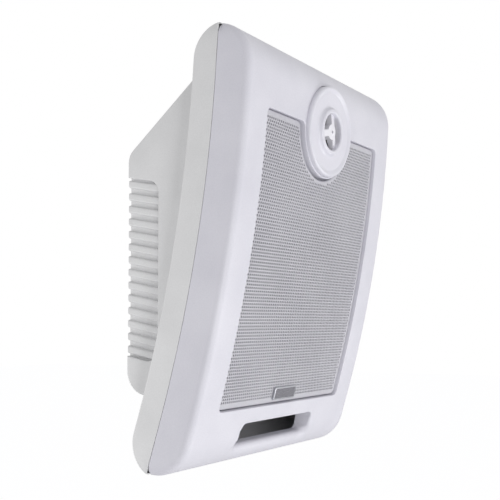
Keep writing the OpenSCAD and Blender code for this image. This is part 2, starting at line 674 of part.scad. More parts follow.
// The crossover, on four stands moulded inside the back wall
module crossover_board() color("#3f6b3a") difference() {
    translate([board_x - board_w / 2, board_y - board_t, board_z - board_h / 2]) cube([board_w, board_t, board_h]);
    board_screw_places() raised(0, far) circle(small_r + 0.2);
}
board_front = board_stand + box_wall + board_t;
module crossover_inductor() color("#b0703a") translate([board_x, 0, board_z + 13])
    turned() polygon([[3, board_front], [12, board_front], [12, board_front + 1.2], [10.5, board_front + 1.2],
                      [10.5, board_front + 10.8], [12, board_front + 10.8], [12, board_front + 12], [3, board_front + 12]]);
cap_body_r = 5.5;
module crossover_capacitors() color("#4a5c86") for (x = [-1, 1])
    translate([board_x + x * 6.5, -board_front - cap_body_r, board_z - 27]) cylinder(r = cap_body_r, h = 22);
module crossover_resistor() color("#d8d4c8")
    translate([board_x - 8, -board_front - 7, board_z - 4]) cube([16, 7, 4.5]);

// Two pads of fibre: one beside the motor on the back wall, one under the sloping top
pad_gap = 0.3;
pad_t = 10;
keyhole_block = keyhole_drop / 2 + keyhole_entry_r + 3;      // half the height of the moulding round a keyhole
module damping_wadding() color("#e6e4da") {
    translate([magnet_r + 5, -box_wall - pad_gap - pad_t, keyhole_rise - keyhole_drop / 2 - keyhole_block - 67])
        cube([box_w / 2 - rib_floor - box_wall - magnet_r - 8, pad_t, 64]);
    translate([0, 0, box_top]) rotate([-box_slope, 0, 0])
        translate([-70, -46, -box_wall - pad_gap - pad_t]) cube([140, 28, pad_t]);
}

// A tray let into the back, with cheeks that carry the two levers
lever_w = 14;
lever_x = 11;
lever_t = 3;
lever_y = -6;
lever_rise = cup_h / 2 - 3.6;
lever_len = 12.5;
cheek_gap = 0.4;
cheek_t = 3;
module terminal_cup() color("#26262a") on_cup() difference() {
    union() {
        raised(cup_sunk, cup_rebate) round_rect(cup_w + 2 * cup_flange, cup_h + 2 * cup_wall + 1, 1.8);
        raised(cup_rebate - eps, cup_depth + cup_wall) round_rect(cup_w + 2 * cup_wall, cup_h + 2 * cup_wall, 1.2);
    }
    difference() {
        raised(-1, cup_depth) round_rect(cup_w, cup_h, 0.8);
        for (x = [-1, 0, 1]) cheek(x);
    }
    for (side = [-1, 1]) translate([side * lever_x, lever_y, lever_rise]) rotate([0, 90, 0])
        cylinder(r = lever_pin_r + lever_clear, h = lever_w + 2 * cheek_gap + 2 * cheek_t, center = true);
    for (side = [-1, 1]) translate([side * lever_x, 0, -cup_h / 2 + 6]) raised(cup_depth - 1, far) square([4.2, 1], center = true);
    cup_screw_places() {
        raised(0, cup_sunk + cup_head_t) circle(cup_head_r + 0.2);
        raised(0, far) circle(small_r + 0.2);
    }
}
module cheek(place) {
    inner = lever_x - lever_w / 2 - cheek_gap;
    outer = lever_x + lever_w / 2 + cheek_gap;
    x0 = place == 0 ? -inner : place > 0 ? outer : -outer - cheek_t;
    w = place == 0 ? 2 * inner : cheek_t;
    translate([x0, -cup_depth - eps, lever_rise - 3.4]) cube([w, cup_depth - 2.4, cup_h]);
}

// One lever with its pegs; it is pressed at its lower end and swings in
module terminal_lever(side) translate([side * lever_x, lever_y, cup_rise + lever_rise]) {
    across(lever_w) polygon(concat(
        [for (a = [0 : 20 : 180]) 2.4 * [cos(a), sin(a)]],
        [[-lever_t / 2 - 0.3, -lever_len], [lever_t / 2 + 1.2, -lever_len], [lever_t / 2 + 1.2, -lever_len + 5],
         [lever_t / 2, -lever_len + 6.4]]));
    rotate([0, 90, 0]) cylinder(r = lever_pin_r, h = lever_w + 2 * cheek_gap + 2 * (cheek_t - 0.6), center = true);
}
module terminal_lever_red() color("#b3232a") terminal_lever(1);
module terminal_lever_black() color("#202022") terminal_lever(-1);

// Sprung leaf behind each lever, from the tray's floor to the lever's back
leaf_t = 0.35;
module terminal_spring(side) translate([side * lever_x, 0, cup_rise]) across(7) polygon([
    [-cup_depth + 0.6, 5], [-cup_depth + 0.6, -1], [lever_y - 2.3, -4], [lever_y - 2.3, -4 - leaf_t],
    [-cup_depth + 0.6 - leaf_t, -1.3], [-cup_depth + 0.6 - leaf_t, 5]]);
module terminal_spring_red() color("#c9b26a") terminal_spring(1);
module terminal_spring_black() color("#c9b26a") terminal_spring(-1);

// Brass strips on the tray's floor, each with a tag that runs through it
module terminal_contacts() color("#c9a44c") for (side = [-1, 1]) translate([side * lever_x, 0, cup_rise]) {
    translate([-3.5, -cup_depth, -cup_h / 2 + 2]) cube([7, 0.25, cup_h - 6]);
    translate([-2, -cup_depth - cup_wall - 6, -cup_h / 2 + 5.6]) cube([4, cup_wall + 6.2, 0.8]);
}

// A pan-headed screw whose head seats at height seat and whose thread points to the front
module screw(seat, length, hole, head = screw_head_r, head_t = screw_head_t) {
    raised(seat - head_t, seat) circle(head);
    raised(seat - eps, seat + length) circle(hole - thread_clear);
}
module case_screws() color("#8d8f93") on_slab() case_screw_places() screw(case_head_h, 12 - case_head_h, pilot_r);
module woofer_screws() color("#8d8f93") on_woofer() woofer_screw_places() screw(frame_h - sheet_t, 9, pilot_r);
module tweeter_screws() color("#8d8f93") on_tweeter() tweeter_screw_places()
    screw(baffle_h - tweeter_flange_t, 10, pilot_r);
module board_screws() color("#8d8f93") board_screw_places() mirror([0, 1, 0])
    screw(-board_front, 5.5, small_r, screw_head_r - 0.4);
module terminal_screws() color("#5b5c60") on_cup() cup_screw_places()
    screw(cup_sunk + cup_head_t, 3.4, small_r, cup_head_r, cup_head_t);

front_bezel();
rear_cabinet();
seam_gasket();
grille();
badge();
tweeter_faceplate();
tweeter_diaphragm();
tweeter_voice_coil();
tweeter_top_plate();
tweeter_magnet();
tweeter_yoke();
woofer_basket();
woofer_gasket();
woofer_surround();
woofer_cone();
woofer_dust_cap();
woofer_voice_coil();
woofer_spider();
woofer_top_plate();
woofer_magnet();
woofer_yoke();
crossover_board();
crossover_inductor();
crossover_capacitors();
crossover_resistor();
damping_wadding();
terminal_cup();
terminal_lever_red();
terminal_lever_black();
terminal_contacts();
terminal_spring_red();
terminal_spring_black();
case_screws();
woofer_screws();
tweeter_screws();
board_screws();
terminal_screws();
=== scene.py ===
# %% [markdown]
# # A two-way wall speaker
# The speaker is a bowed slab that leans out over the room, on a ribbed box that meets the wall.
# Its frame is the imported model: every piece below is worked out in that same frame, in millimetres, and turned
# to metres only when it goes into a mesh. So nothing has to be fitted by eye.

import bmesh
import bpy
import numpy as np
from mathutils import Matrix
from mathutils.geometry import delaunay_2d_cdt


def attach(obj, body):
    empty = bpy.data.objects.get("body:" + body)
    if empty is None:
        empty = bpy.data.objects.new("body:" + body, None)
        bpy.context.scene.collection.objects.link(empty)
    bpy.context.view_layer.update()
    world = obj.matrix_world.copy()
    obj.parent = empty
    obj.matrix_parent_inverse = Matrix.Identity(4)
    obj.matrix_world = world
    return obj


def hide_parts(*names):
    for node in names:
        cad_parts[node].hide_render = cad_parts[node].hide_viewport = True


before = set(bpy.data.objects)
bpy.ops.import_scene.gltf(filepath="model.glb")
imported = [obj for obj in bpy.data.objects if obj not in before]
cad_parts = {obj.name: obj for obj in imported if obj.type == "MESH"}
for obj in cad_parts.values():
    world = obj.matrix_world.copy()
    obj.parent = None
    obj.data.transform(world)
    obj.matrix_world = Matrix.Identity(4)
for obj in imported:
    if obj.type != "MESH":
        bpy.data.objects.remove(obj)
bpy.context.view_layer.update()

# %% [markdown]
# ## The camera
# The photograph was taken from low on the left, about 0.65 m away. The place, the two turns and the focal length
# were found by matching the slab's corners, its bow and the flat back. A camera could also be aimed with a
# constraint, but a matrix built from the three directions says exactly where it looks.

# %% Camera
YAW, PITCH, ROLL = 1.00861, 0.08659, -0.00469
CAMERA_AT = [-0.49874, -0.34887, -0.03677]
SENSOR_MM, FOCAL_PX, PHOTO_PX = 36.0, 862.7, 500
ahead = np.array([np.sin(YAW) * np.cos(PITCH), np.cos(YAW) * np.cos(PITCH), np.sin(PITCH)])
level = np.array([np.cos(YAW), -np.sin(YAW), 0.0])
upward = np.cross(level, ahead)
right = np.cos(ROLL) * level + np.sin(ROLL) * upward
upward = np.cos(ROLL) * upward - np.sin(ROLL) * level
place = np.eye(4)
place[:3, 0], place[:3, 1], place[:3, 2] = right, upward, -ahead
place[:3, 3] = CAMERA_AT
camera = bpy.data.objects.new("camera", bpy.data.cameras.new("camera"))
camera.data.sensor_width = SENSOR_MM
camera.data.lens = SENSOR_MM * FOCAL_PX / PHOTO_PX
camera.data.clip_start, camera.data.clip_end = 0.01, 60.0
camera.matrix_world = Matrix(place.tolist())
bpy.context.scene.collection.objects.link(camera)
bpy.context.scene.camera = camera
print("lens in mm:", round(camera.data.lens, 1))

# %% [markdown]
# ## Sizes of the slab
# The slab is two shells that meet at a bowed seam. Each shell is one cross-section carried along a path: round
# the bow, then round a rolled end. These are the sizes that the CAD part was made from.

# %% Slab sizes in millimetres
SLAB_W, SLAB_H, SEAM_R, SEAM_GAP = 200.0, 266.0, 870.0, 0.4
FRONT = dict(facing=1, depth=22.4, end_r=27.0, edge=4.5)
BACK = dict(facing=-1, depth=17.4, end_r=20.0, edge=1.6)
DRAFT = 0.7
TILT, REACH, RISE = np.radians(11.2), 60.8, 5.0


def lean(points):
    """Slab frame to speaker frame: y' = y cos t - z sin t - reach and z' = y sin t + z cos t + rise, where t is
    the tilt."""
    p = np.asarray(points, float)
    y = p[..., 1] * np.cos(TILT) - p[..., 2] * np.sin(TILT) - REACH
    z = p[..., 1] * np.sin(TILT) + p[..., 2] * np.cos(TILT) + RISE
    return np.stack([p[..., 0], y, z], -1)


def leaned(parts):
    """Several (points, faces) with their points turned from the slab's frame to the speaker's."""
    return [(lean(p), f) for p, f in parts]


def path(half):
    """Where the path's parts begin: its base radius about the bow's centre, the angle where the roll starts, and
    the lengths along the face to that start and to the seam at the very end."""
    s, r = half["facing"], half["end_r"]
    base = SEAM_R + s * (half["depth"] - r)
    rim = SEAM_R + s * SEAM_GAP / 2
    roll = np.arcsin(SLAB_H / 2 / SEAM_R) - np.arccos((base**2 + SEAM_R**2 - r**2) / (2 * base * SEAM_R))
    start = (base + s * r) * roll
    end = start + r * np.arccos(s * (rim**2 - base**2 - r**2) / (2 * base * r))
    return base, rim, roll, start, end


def carry(half, x, w, k):
    """A point of a shell. w is the length along the face from the middle and k the distance from the path's centre
    line: centre(w) + k normal(w). On the bow the centre moves and the normal turns with it; on the rolled end the
    centre stays and only the normal turns."""
    base, _, roll, start, _ = path(half)
    s = half["facing"]
    turn = np.clip(w, -start, start) / (base + s * half["end_r"])
    roll_on = np.sign(w) * np.clip(np.abs(w) - start, 0, None) / half["end_r"]
    angle = turn + s * roll_on
    y = SEAM_R - base * np.cos(turn) - s * k * np.cos(angle)
    z = base * np.sin(turn) + s * k * np.sin(angle)
    return np.stack(np.broadcast_arrays(x, y, z), -1)


def seam_distance(half, w):
    """How far the seam lies from the centre line: the root of |centre + k normal| = rim radius."""
    base, rim, _, start, _ = path(half)
    s = half["facing"]
    c = base * np.cos(np.clip(np.abs(w) - start, 0, None) / half["end_r"])
    return s * (np.sqrt(np.maximum(c**2 + rim**2 - base**2, 0)) - c)


for half in (FRONT, BACK):
    print("rolled end starts at", round(path(half)[3], 1), "mm and meets the seam at", round(path(half)[4], 1))

# %% [markdown]
# ## Meshes from arrays
# Every surface below is a grid of points, or a flat region cut into triangles and then bent onto its surface.
# Modelling by hand with boolean cuts would also give the openings, but it leaves ragged shading round them.
# Here each opening's edge is shared point for point with the face around it, so the shading runs through.


# %% Grids, patches and pieces
def grid(points, closed=False):
    """Quads between neighbouring rows and columns of a grid of points (rows, columns, 3)."""
    n, m = points.shape[:2]
    i, j = np.meshgrid(np.arange(n - 1), np.arange(m if closed else m - 1), indexing="ij")
    k = (j + 1) % m
    quads = np.stack([i * m + j, (i + 1) * m + j, (i + 1) * m + k, i * m + k], -1).reshape(-1, 4)
    return points.reshape(-1, 3), quads


def inside(points, loop):
    """Even-odd rule: a point is inside if a ray along +x crosses the loop's edges an odd number of times."""
    a, b = loop, np.roll(loop, -1, 0)
    px, py = points[:, 0][:, None], points[:, 1][:, None]
    spans = (a[:, 1] > py) != (b[:, 1] > py)
    with np.errstate(divide="ignore", invalid="ignore"):
        cross = a[:, 0] + (py - a[:, 1]) * (b[:, 0] - a[:, 0]) / (b[:, 1] - a[:, 1])
    return (spans & (px < cross)).sum(1) % 2 == 1


def trimmed(points, faces):
    """Leaves out the points that no face uses."""
    used, numbers = np.unique(faces, return_inverse=True)
    return points[used], numbers.reshape(faces.shape)


NONE = np.zeros((0, 2))
CROWDED = 0.7  # an extra point this near a loop, in mm, would only make thin triangles


def patch(keep, cut, extra, bend):
    """Triangles that fill the loops in keep, leave the loops in cut open and use the extra points, all in flat
    coordinates; bend then turns the flat points into points in space."""
    loops = list(keep) + list(cut)
    flat, edges, n = [], [], 0
    for loop in loops:
        flat.append(loop)
        edges += [(n + i, n + (i + 1) % len(loop)) for i in range(len(loop))]
        n += len(loop)
    if len(extra):
        near = np.full(len(extra), np.inf)
        for loop in loops:
            near = np.minimum(near, np.sqrt(((extra[:, None] - loop[None]) ** 2).sum(-1)).min(1))
        good = near > CROWDED
        for loop in keep:
            good &= inside(extra, loop)
        for loop in cut:
            good &= ~inside(extra, loop)
        flat.append(extra[good])
    flat = np.concatenate(flat)
    points, _, faces, *_ = delaunay_2d_cdt([tuple(p) for p in flat.tolist()], edges, [], 0, 1e-5)
    points, faces = np.array([tuple(p) for p in points]), np.array([f for f in faces if len(f) == 3])
    centre = points[faces].mean(1)
    good = np.ones(len(faces), bool)
    for loop in keep:
        good &= inside(centre, loop)
    for loop in cut:
        good &= ~inside(centre, loop)
    points, faces = trimmed(points, faces[good])
    return bend(points[:, 0], points[:, 1]), faces


def flat_patch(keep, cut, axis, value):
    """A flat region square to an axis: the loops hold the other two coordinates, in order."""
    return patch(keep, cut, NONE, lambda a, b: np.insert(np.stack([a, b], -1), axis, value, 1))


def piece(name, parts, material, body="cabinet", replaces=(), sharp=32, toward=None):
    """One object from several (points, faces) in millimetres: their doubles are merged and their faces turned
    outwards. toward, where given, is a direction that the outermost face must look along."""
    points, faces, n = [], [], 0
    for p, f in parts:
        points.append(np.asarray(p, float))
        faces += (np.asarray(f) + n).tolist()
        n += len(p)
    mesh = bpy.data.meshes.new(name)
    mesh.from_pydata((np.concatenate(points) / 1000).tolist(), [], faces)
    bm = bmesh.new()
    bm.from_mesh(mesh)
    bmesh.ops.remove_doubles(bm, verts=bm.verts, dist=3e-6)
    bmesh.ops.dissolve_degenerate(bm, edges=bm.edges, dist=1e-6)
    bmesh.ops.recalc_face_normals(bm, faces=bm.faces)
    if toward is not None:
        far = max(bm.faces, key=lambda f: f.calc_center_median().dot(toward))
        if far.normal.dot(toward) < 0:
            bmesh.ops.reverse_faces(bm, faces=bm.faces)
    bm.to_mesh(mesh)
    bm.free()
    mesh.shade_smooth()
    mesh.set_sharp_from_angle(angle=np.radians(sharp))
    obj = bpy.data.objects.new(name, mesh)
    bpy.context.scene.collection.objects.link(obj)
    mesh.materials.append(material)
    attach(obj, body)
    if replaces:
        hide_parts(*replaces)
    mesh.calc_loop_triangles()
    print(name, "triangles:", len(mesh.loop_triangles))


def round_over(a, corner, b, steps=6):
    """Rows of a rounded edge from a to b: a rational quadratic curve that leaves a and reaches b along the lines
    to the corner. With legs of equal length at a right angle it is a true quarter circle."""
    t = np.linspace(0, 1, steps + 1)[:, None, None]
    u, v, q = (1 - t) ** 2, 2 * np.sqrt(0.5) * t * (1 - t), t**2
    return (u * a + v * corner + q * b) / (u + v + q)


def normals(loop):
    """Outward unit normals of a closed loop that runs counterclockwise: its tangent turned clockwise."""
    t = np.roll(loop, -1, 0) - np.roll(loop, 1, 0)
    return np.stack([t[:, 1], -t[:, 0]], -1) / np.linalg.norm(t, axis=1)[:, None]


def arc(cx, cy, r, a, b, n):
    """n + 1 points on a circle about (cx, cy) from angle a to angle b, in degrees."""
    t = np.radians(np.linspace(a, b, n + 1))
    return np.stack([cx + r * np.cos(t), cy + r * np.sin(t)], -1)


def spaced(points, step):
    """Points at equal steps along a polyline, with both ends kept."""
    points = np.asarray(points, float)
    run = np.concatenate([[0], np.cumsum(np.linalg.norm(np.diff(points, axis=0), axis=1))])
    at = np.linspace(0, run[-1], max(int(round(run[-1] / step)), 1) + 1)
    return np.stack([np.interp(at, run, points[:, i]) for i in range(points.shape[1])], -1)


def round_rect(cx, cy, w, h, r, step=1.5):
    """A rectangle with rounded corners, counterclockwise from its lower left."""
    x, y = w / 2 - r, h / 2 - r
    n = max(int(np.ceil(np.pi / 2 * r / 0.5)), 3)
    corners = [arc(cx + x, cy - y, r, -90, 0, n), arc(cx + x, cy + y, r, 0, 90, n),
               arc(cx - x, cy + y, r, 90, 180, n), arc(cx - x, cy - y, r, 180, 270, n)]
    out = []
    for i, c in enumerate(corners):
        out += [c, spaced([c[-1], corners[(i + 1) % 4][0]], step)[1:-1]]
    return np.concatenate(out)


# %% [markdown]
# ## Materials
# Each finish starts from the real one. Colours are written as sRGB hex, as a paint chart or a picture editor
# gives them, and turned to the linear values that light is added up in.


# %% Colour and node helpers
def linear(colour):
    """sRGB hex to linear RGBA: ((c + 0.055) / 1.055) to the power 2.4, or c / 12.92 close to black."""
    c = np.array([int(colour[i : i + 2], 16) for i in (1, 3, 5)]) / 255
    return (*np.where(c <= 0.04045, c / 12.92, ((c + 0.055) / 1.055) ** 2.4), 1.0)


def add(tree, kind, inputs=(), **settings):
    """Adds a node, gives it its settings, and fills its inputs with a value or a link from another socket."""
    node = tree.nodes.new(kind)
    for key, value in settings.items():
        setattr(node, key, value)
    for key, value in dict(inputs).items():
        if isinstance(value, bpy.types.NodeSocket):
            tree.links.new(value, node.inputs[key])
        else:
            node.inputs[key].default_value = value
    return node


BLOTCH_MM = 28.0


def finish(name, colour, other, grain_mm, bump, roughness, metallic=0.0, spread=0.06, ior=None, sheen=0.0,
           stretch=(1, 1, 1)):
    """A surface whose colour drifts a little between two tones and whose grain shows in its bump and roughness.
    A noise of size s millimetres has the scale 1000 / s on Object coordinates, which are in metres."""
    m = bpy.data.materials.new(name)
    m.use_nodes = True
    tree = m.node_tree
    shader = tree.nodes["Principled BSDF"]
    where = add(tree, "ShaderNodeTexCoord").outputs["Object"]
    where = add(tree, "ShaderNodeMapping", {"Vector": where, "Scale": stretch}).outputs["Vector"]
    grain = add(tree, "ShaderNodeTexNoise",
                {"Vector": where, "Scale": 1000 / grain_mm, "Detail": 3.0, "Roughness": 0.6})
    cloud = add(tree, "ShaderNodeTexNoise", {"Vector": where, "Scale": 1000 / BLOTCH_MM, "Detail": 2.0})
    tone = add(tree, "ShaderNodeMath", {0: cloud.outputs["Fac"], 1: grain.outputs["Fac"]}, operation="ADD")
    tone = add(tree, "ShaderNodeMapRange", {"Value": tone.outputs[0], "From Min": 0.7, "From Max": 1.3})
    blend = add(tree, "ShaderNodeMix", {0: tone.outputs[0], 6: linear(colour), 7: linear(other)}, data_type="RGBA")
    rough = add(tree, "ShaderNodeMapRange", {"Value": grain.outputs["Fac"], "From Min": 0.3, "From Max": 0.7,
                                             "To Min": roughness - spread, "To Max": roughness + spread})
    tree.links.new(blend.outputs[2], shader.inputs["Base Color"])
    tree.links.new(rough.outputs[0], shader.inputs["Roughness"])
    if bump:
        relief = add(tree, "ShaderNodeBump", {"Height": grain.outputs["Fac"], "Strength": 1.0, "Distance": bump / 1000})
        tree.links.new(relief.outputs["Normal"], shader.inputs["Normal"])
    shader.inputs["Metallic"].default_value = metallic
    shader.inputs["Sheen Weight"].default_value = sheen
    if ior:
        shader.inputs["IOR"].default_value = ior
    return m


# %% [markdown]
# The shells are injection-moulded ABS. The mould was spark-eroded, which leaves a fine matt grain that hides
# flow marks. The real grain is about 0.2 mm; it is drawn at 0.7 mm, the finest that still shows at this distance.

# %% Plastics
silver_abs = finish("moulded_abs_silver_white", "#dfdee6", "#d6d5de", 0.7, 0.012, 0.46, ior=1.53)
white_abs = finish("moulded_abs_white", "#e4e4e5", "#dadadb", 0.7, 0.016, 0.52, ior=1.53)
smooth_abs = finish("polished_abs_silver_white", "#e2e1e9", "#dcdbe4", 0.6, 0.004, 0.34, ior=1.53)
plug_abs = finish("moulded_abs_white_plug", "#f0eff3", "#e8e7ee", 0.6, 0.004, 0.4, ior=1.53)
# Black plastic; on the tweeter's deep throat it is painted shade.
black_abs_and_throat_shade = finish("moulded_abs_black_and_throat_shade", "#232325", "#2b2b2e", 0.5, 0.012, 0.5, ior=1.53)
red_abs = finish("moulded_abs_red", "#b3232a", "#a51d25", 0.5, 0.008, 0.4, ior=1.53)

# %% [markdown]
# The grille is punched steel under a powder coat, a paint that is melted on as dust and dries to a faint orange
# peel. The rest of the metals sit inside or at the back: zinc-plated screws and plates, brass strips, ferrite.

# %% Metals, papers and cloths
powder_coat = finish("powder_coated_steel_grey", "#c9c8ce", "#bfbec5", 0.9, 0.010, 0.42, ior=1.5)
zinc = finish("zinc_plated_steel", "#b4b7bc", "#9fa3a9", 0.5, 0.004, 0.34, metallic=1.0, spread=0.1)
black_steel = finish("black_coated_steel", "#2c2d2f", "#37383b", 0.6, 0.010, 0.45)
ferrite = finish("ground_ferrite", "#3d3d40", "#4a4a4e", 0.4, 0.012, 0.6, metallic=0.0, spread=0.12)
copper = finish("enamelled_copper_wire", "#b4713c", "#96562a", 0.5, 0.030, 0.3, metallic=1.0, stretch=(1, 1, 6))
brass = finish("stamped_brass", "#c9a44c", "#b58f3c", 0.5, 0.004, 0.3, metallic=1.0, spread=0.1)
badge_metal = finish("brushed_aluminium", "#c6c7cc", "#b4b5bb", 0.35, 0.006, 0.32, metallic=1.0, stretch=(0.08, 1, 1))
badge_lacquer = finish("grey_lacquer", "#74737a", "#7c7b82", 0.6, 0.003, 0.25, ior=1.5)
rubber = finish("moulded_rubber_black", "#232324", "#2c2c2d", 0.6, 0.014, 0.7, sheen=0.2)
paper = finish("pressed_paper_pulp", "#2b2b2d", "#3b3a3b", 1.1, 0.060, 0.85, spread=0.08)
silk = finish("doped_silk", "#19191b", "#242427", 0.5, 0.020, 0.4)
spider_cloth = finish("resin_dipped_cloth", "#b98a4b", "#a67838", 0.6, 0.040, 0.8)
laminate = finish("lacquered_laminate", "#3f6b3a", "#365f33", 1.2, 0.010, 0.35)
sleeve = finish("shrunk_film_sleeve", "#4a5c86", "#42537b", 1.0, 0.006, 0.3)
cement = finish("fired_cement", "#d8d4c8", "#c8c3b5", 0.6, 0.030, 0.85)
wadding = finish("loose_polyester_fibre", "#e6e4da", "#d5d3c9", 2.5, 0.500, 0.95, sheen=0.4)

# %% [markdown]
# ## The front bezel
# On the real speaker this is one moulding: a bowed face that rolls over at both ends, a pocket for the grille, a
# collar for the tweeter and a slot with a rounded lower lip. Subdivision modelling could give the soft shape,
# but the openings would pull it out of true. So the face is a flat region cut into triangles with its openings
# and then bent round the path, and the sides are a grid that shares the region's edge.


# %% Side strips of a shell
def section(half):
    """Half a cross-section from its foot on the centre line, up the drafted side and over the rounded edge to the
    face, as (k, x) points with their running length."""
    r, e = half["end_r"], half["edge"]
    side = SLAB_W / 2
    foot, top = np.array([0.0, side + DRAFT * (r / half["depth"] - 1)]), np.array([r, side - DRAFT])
    u, v = foot - top, np.array([0.0, -1.0])
    u = u / np.linalg.norm(u)
    half_angle = np.arccos(u @ v) / 2
    leg = e / np.tan(half_angle)
    curve = round_over((top + u * leg)[None], top[None], (top + v * leg)[None], 10)[:, 0]
    points = np.concatenate([[foot], curve])
    return points, np.concatenate([[0], np.cumsum(np.linalg.norm(np.diff(points, axis=0), axis=1))])


def stations(half, step=4.0):
    """Places along the path: even on the bow, closer on the rolled ends."""
    _, _, _, start, end = path(half)
    bow = np.linspace(-start, start, int(2 * start / step) + 1)
    roll = np.linspace(start, end, 25)[1:]
    return np.concatenate([-roll[::-1], bow, roll])


def side_strip(half, sign):
    """The side from the seam over the edge to the face, as a grid of stations by places on the section."""
    points, run = section(half)
    w = stations(half)
    begin = np.interp(seam_distance(half, w), points[:, 0], run)
    first = np.interp(seam_distance(half, 0.0), points[:, 0], run)
    share = (np.concatenate([[first, (first + run[1]) / 2], run[1:]]) - first) / (run[-1] - first)
    at = begin[:, None] + (run[-1] - begin)[:, None] * share
    k, x = np.interp(at, run, points[:, 0]), np.interp(at, run, points[:, 1])
    return carry(half, sign * x, w[:, None], k), k[:, 0], x[:, 0]


def rim_strip(half, k, x, width=6.0):
    """The narrow face along the seam, from the outer line inwards over the wall's thickness."""
    w = stations(half)
    ends = carry(half, np.linspace(-1, 1, 41)[1:-1] * x[-1], w[-1], k[-1])
    right_side, left_side = carry(half, x, w, k), carry(half, -x, w, k)
    bottom = carry(half, np.linspace(-1, 1, 41)[1:-1] * x[0], w[0], k[0])
    outer = np.concatenate([bottom, right_side, ends[::-1], left_side[::-1]])
    inner = outer.copy()
    inner[:, 0] *= 1 - width / (SLAB_W / 2)
    inner[:, 2] *= 1 - width / (SLAB_H / 2)
    radius = np.hypot(outer[:, 1] - SEAM_R, outer[:, 2]).mean()
    inner[:, 1] = SEAM_R - np.sqrt(radius**2 - inner[:, 2] ** 2)
    return grid(np.stack([outer, inner]), closed=True)


# %% Flat coordinates of a shell's face
def face_tables(half):
    """A dense table from the height z of a face point to its length w along the face."""
    w = np.linspace(-path(half)[4], path(half)[4], 4001)
    z = carry(half, 0.0, w, half["end_r"])[:, 2]
    rising = np.concatenate([[True], np.diff(z) > 0])
    return z[rising], w[rising]


def face_at(half, plan):
    """Front-view points (x, z) put onto the face."""
    z, w = face_tables(half)
    return carry(half, plan[:, 0], np.interp(plan[:, 1], z, w), half["end_r"])


def unroll(half, plan):
    """Front-view points (x, z) to flat coordinates (x, w)."""
    z, w = face_tables(half)
    return np.stack([plan[:, 0], np.interp(plan[:, 1], z, w)], -1)


def edge_of_hole(half, plan, radius, sink=(0.0, 1.0, 0.0)):
    """Rounds the face into a hole whose wall follows the front-view loop plan and runs along sink. Returns the loop
    where the face stops and the rows down to the wall."""
    radius = np.broadcast_to(radius, len(plan))[:, None]
    wide = plan + normals(plan) * radius
    corner = face_at(half, plan)
    return wide, round_over(face_at(half, wide), corner, corner + radius * np.array(sink))


# %% The pocket, the collar and the slot in front view
POCKET_W, POCKET_TOP, POCKET_BOTTOM, POCKET_CORNER = 152.4, 89.8, 91.5, 3.6
TWEETER_ANGLE = 87.0 / SEAM_R
COLLAR_R, COLLAR_WEB, COLLAR_GAP, DISC_R, DISC_CLEAR = 30.6, 4.5, 1.7, 29.5, 0.15
tweeter_mid = (SEAM_R + FRONT["depth"]) * np.sin(TWEETER_ANGLE)


def pocket(grow, notch_r):
    """The pocket's outline: a rounded rectangle with its upper edge notched by a circle round the tweeter, and a
    fillet where the two meet. It is grown or shrunk, and runs counterclockwise with the same number of points."""
    r, web = max(POCKET_CORNER + grow, 0.6), max(COLLAR_WEB + grow, 0.5)
    hw, top, low = POCKET_W / 2 + grow, POCKET_TOP + grow, -POCKET_BOTTOM - grow
    rise = top - web - tweeter_mid
    nx = np.sqrt((notch_r + web) ** 2 - rise**2)
    meet = np.degrees(np.arctan2(rise, nx))
    runs = [
        np.linspace([-hw + r, low], [hw - r, low], 91)[:-1], arc(hw - r, low + r, r, -90, 0, 10)[:-1],
        np.linspace([hw, low + r], [hw, top - r], 101)[:-1], arc(hw - r, top - r, r, 0, 90, 10)[:-1],
        np.linspace([hw - r, top], [nx, top], 27)[:-1], arc(nx, top - web, web, 90, 180 + meet, 10)[:-1],
        arc(0, tweeter_mid, notch_r, meet, -180 - meet, 96)[:-1], arc(-nx, top - web, web, -meet, 90, 10)[:-1],
        np.linspace([-nx, top], [-hw + r, top], 27)[:-1], arc(-hw + r, top - r, r, 90, 180, 10)[:-1],
        np.linspace([-hw, top - r], [-hw, low + r], 101)[:-1], arc(-hw + r, low + r, r, 180, 270, 10)[:-1],
    ]
    return np.concatenate(runs)


def bow_y(height, z):
    """y of a surface that stands at a height over the bowed seam: radius less the root of (radius + height)^2 - z^2."""
    return SEAM_R - np.sqrt((SEAM_R + height) ** 2 - z**2)


def at_height(plan, height):
    """Front-view points put onto the bow at a height over the seam."""
    return np.stack([plan[:, 0], bow_y(height, plan[:, 1]), plan[:, 1]], -1)


def flat_at(plan, height):
    """Front-view points put onto a flat at a height before y = 0: the seam's middle, or the box's flat back."""
    return np.stack([plan[:, 0], np.full(len(plan), -height), plan[:, 1]], -1)


# %% Build the bezel
GRILLE_H, LEDGE_H, LEDGE_W, BAFFLE_H, BAFFLE_T = 20.05, 17.45, 3.6, 5.0, 3.0
SLOT_W, SLOT_H, SLOT_Z, SLOT_R, DUCT_END = 90.0, 14.8, -108.8, 4.5, 4.0
WOOFER_Z, WOOFER_HOLE_R, COLLAR_DEPTH, DUCT_WALL = -19.0, 55.5, 12.0, 2.0
strip_right, rim_k, rim_x = side_strip(FRONT, 1)
strip_left, _, _ = side_strip(FRONT, -1)
face_x = strip_right[0, -1, 0]

pocket_edge, pocket_lip = edge_of_hole(FRONT, pocket(0, COLLAR_R), 0.5)
pocket_wall = pocket(0, COLLAR_R)
pocket_rows = np.concatenate([pocket_lip, at_height(pocket_wall, LEDGE_H)[None],
                              at_height(pocket(-LEDGE_W, COLLAR_R), LEDGE_H)[None],
                              flat_at(pocket(-LEDGE_W, COLLAR_R), BAFFLE_H + BAFFLE_T)[None]])

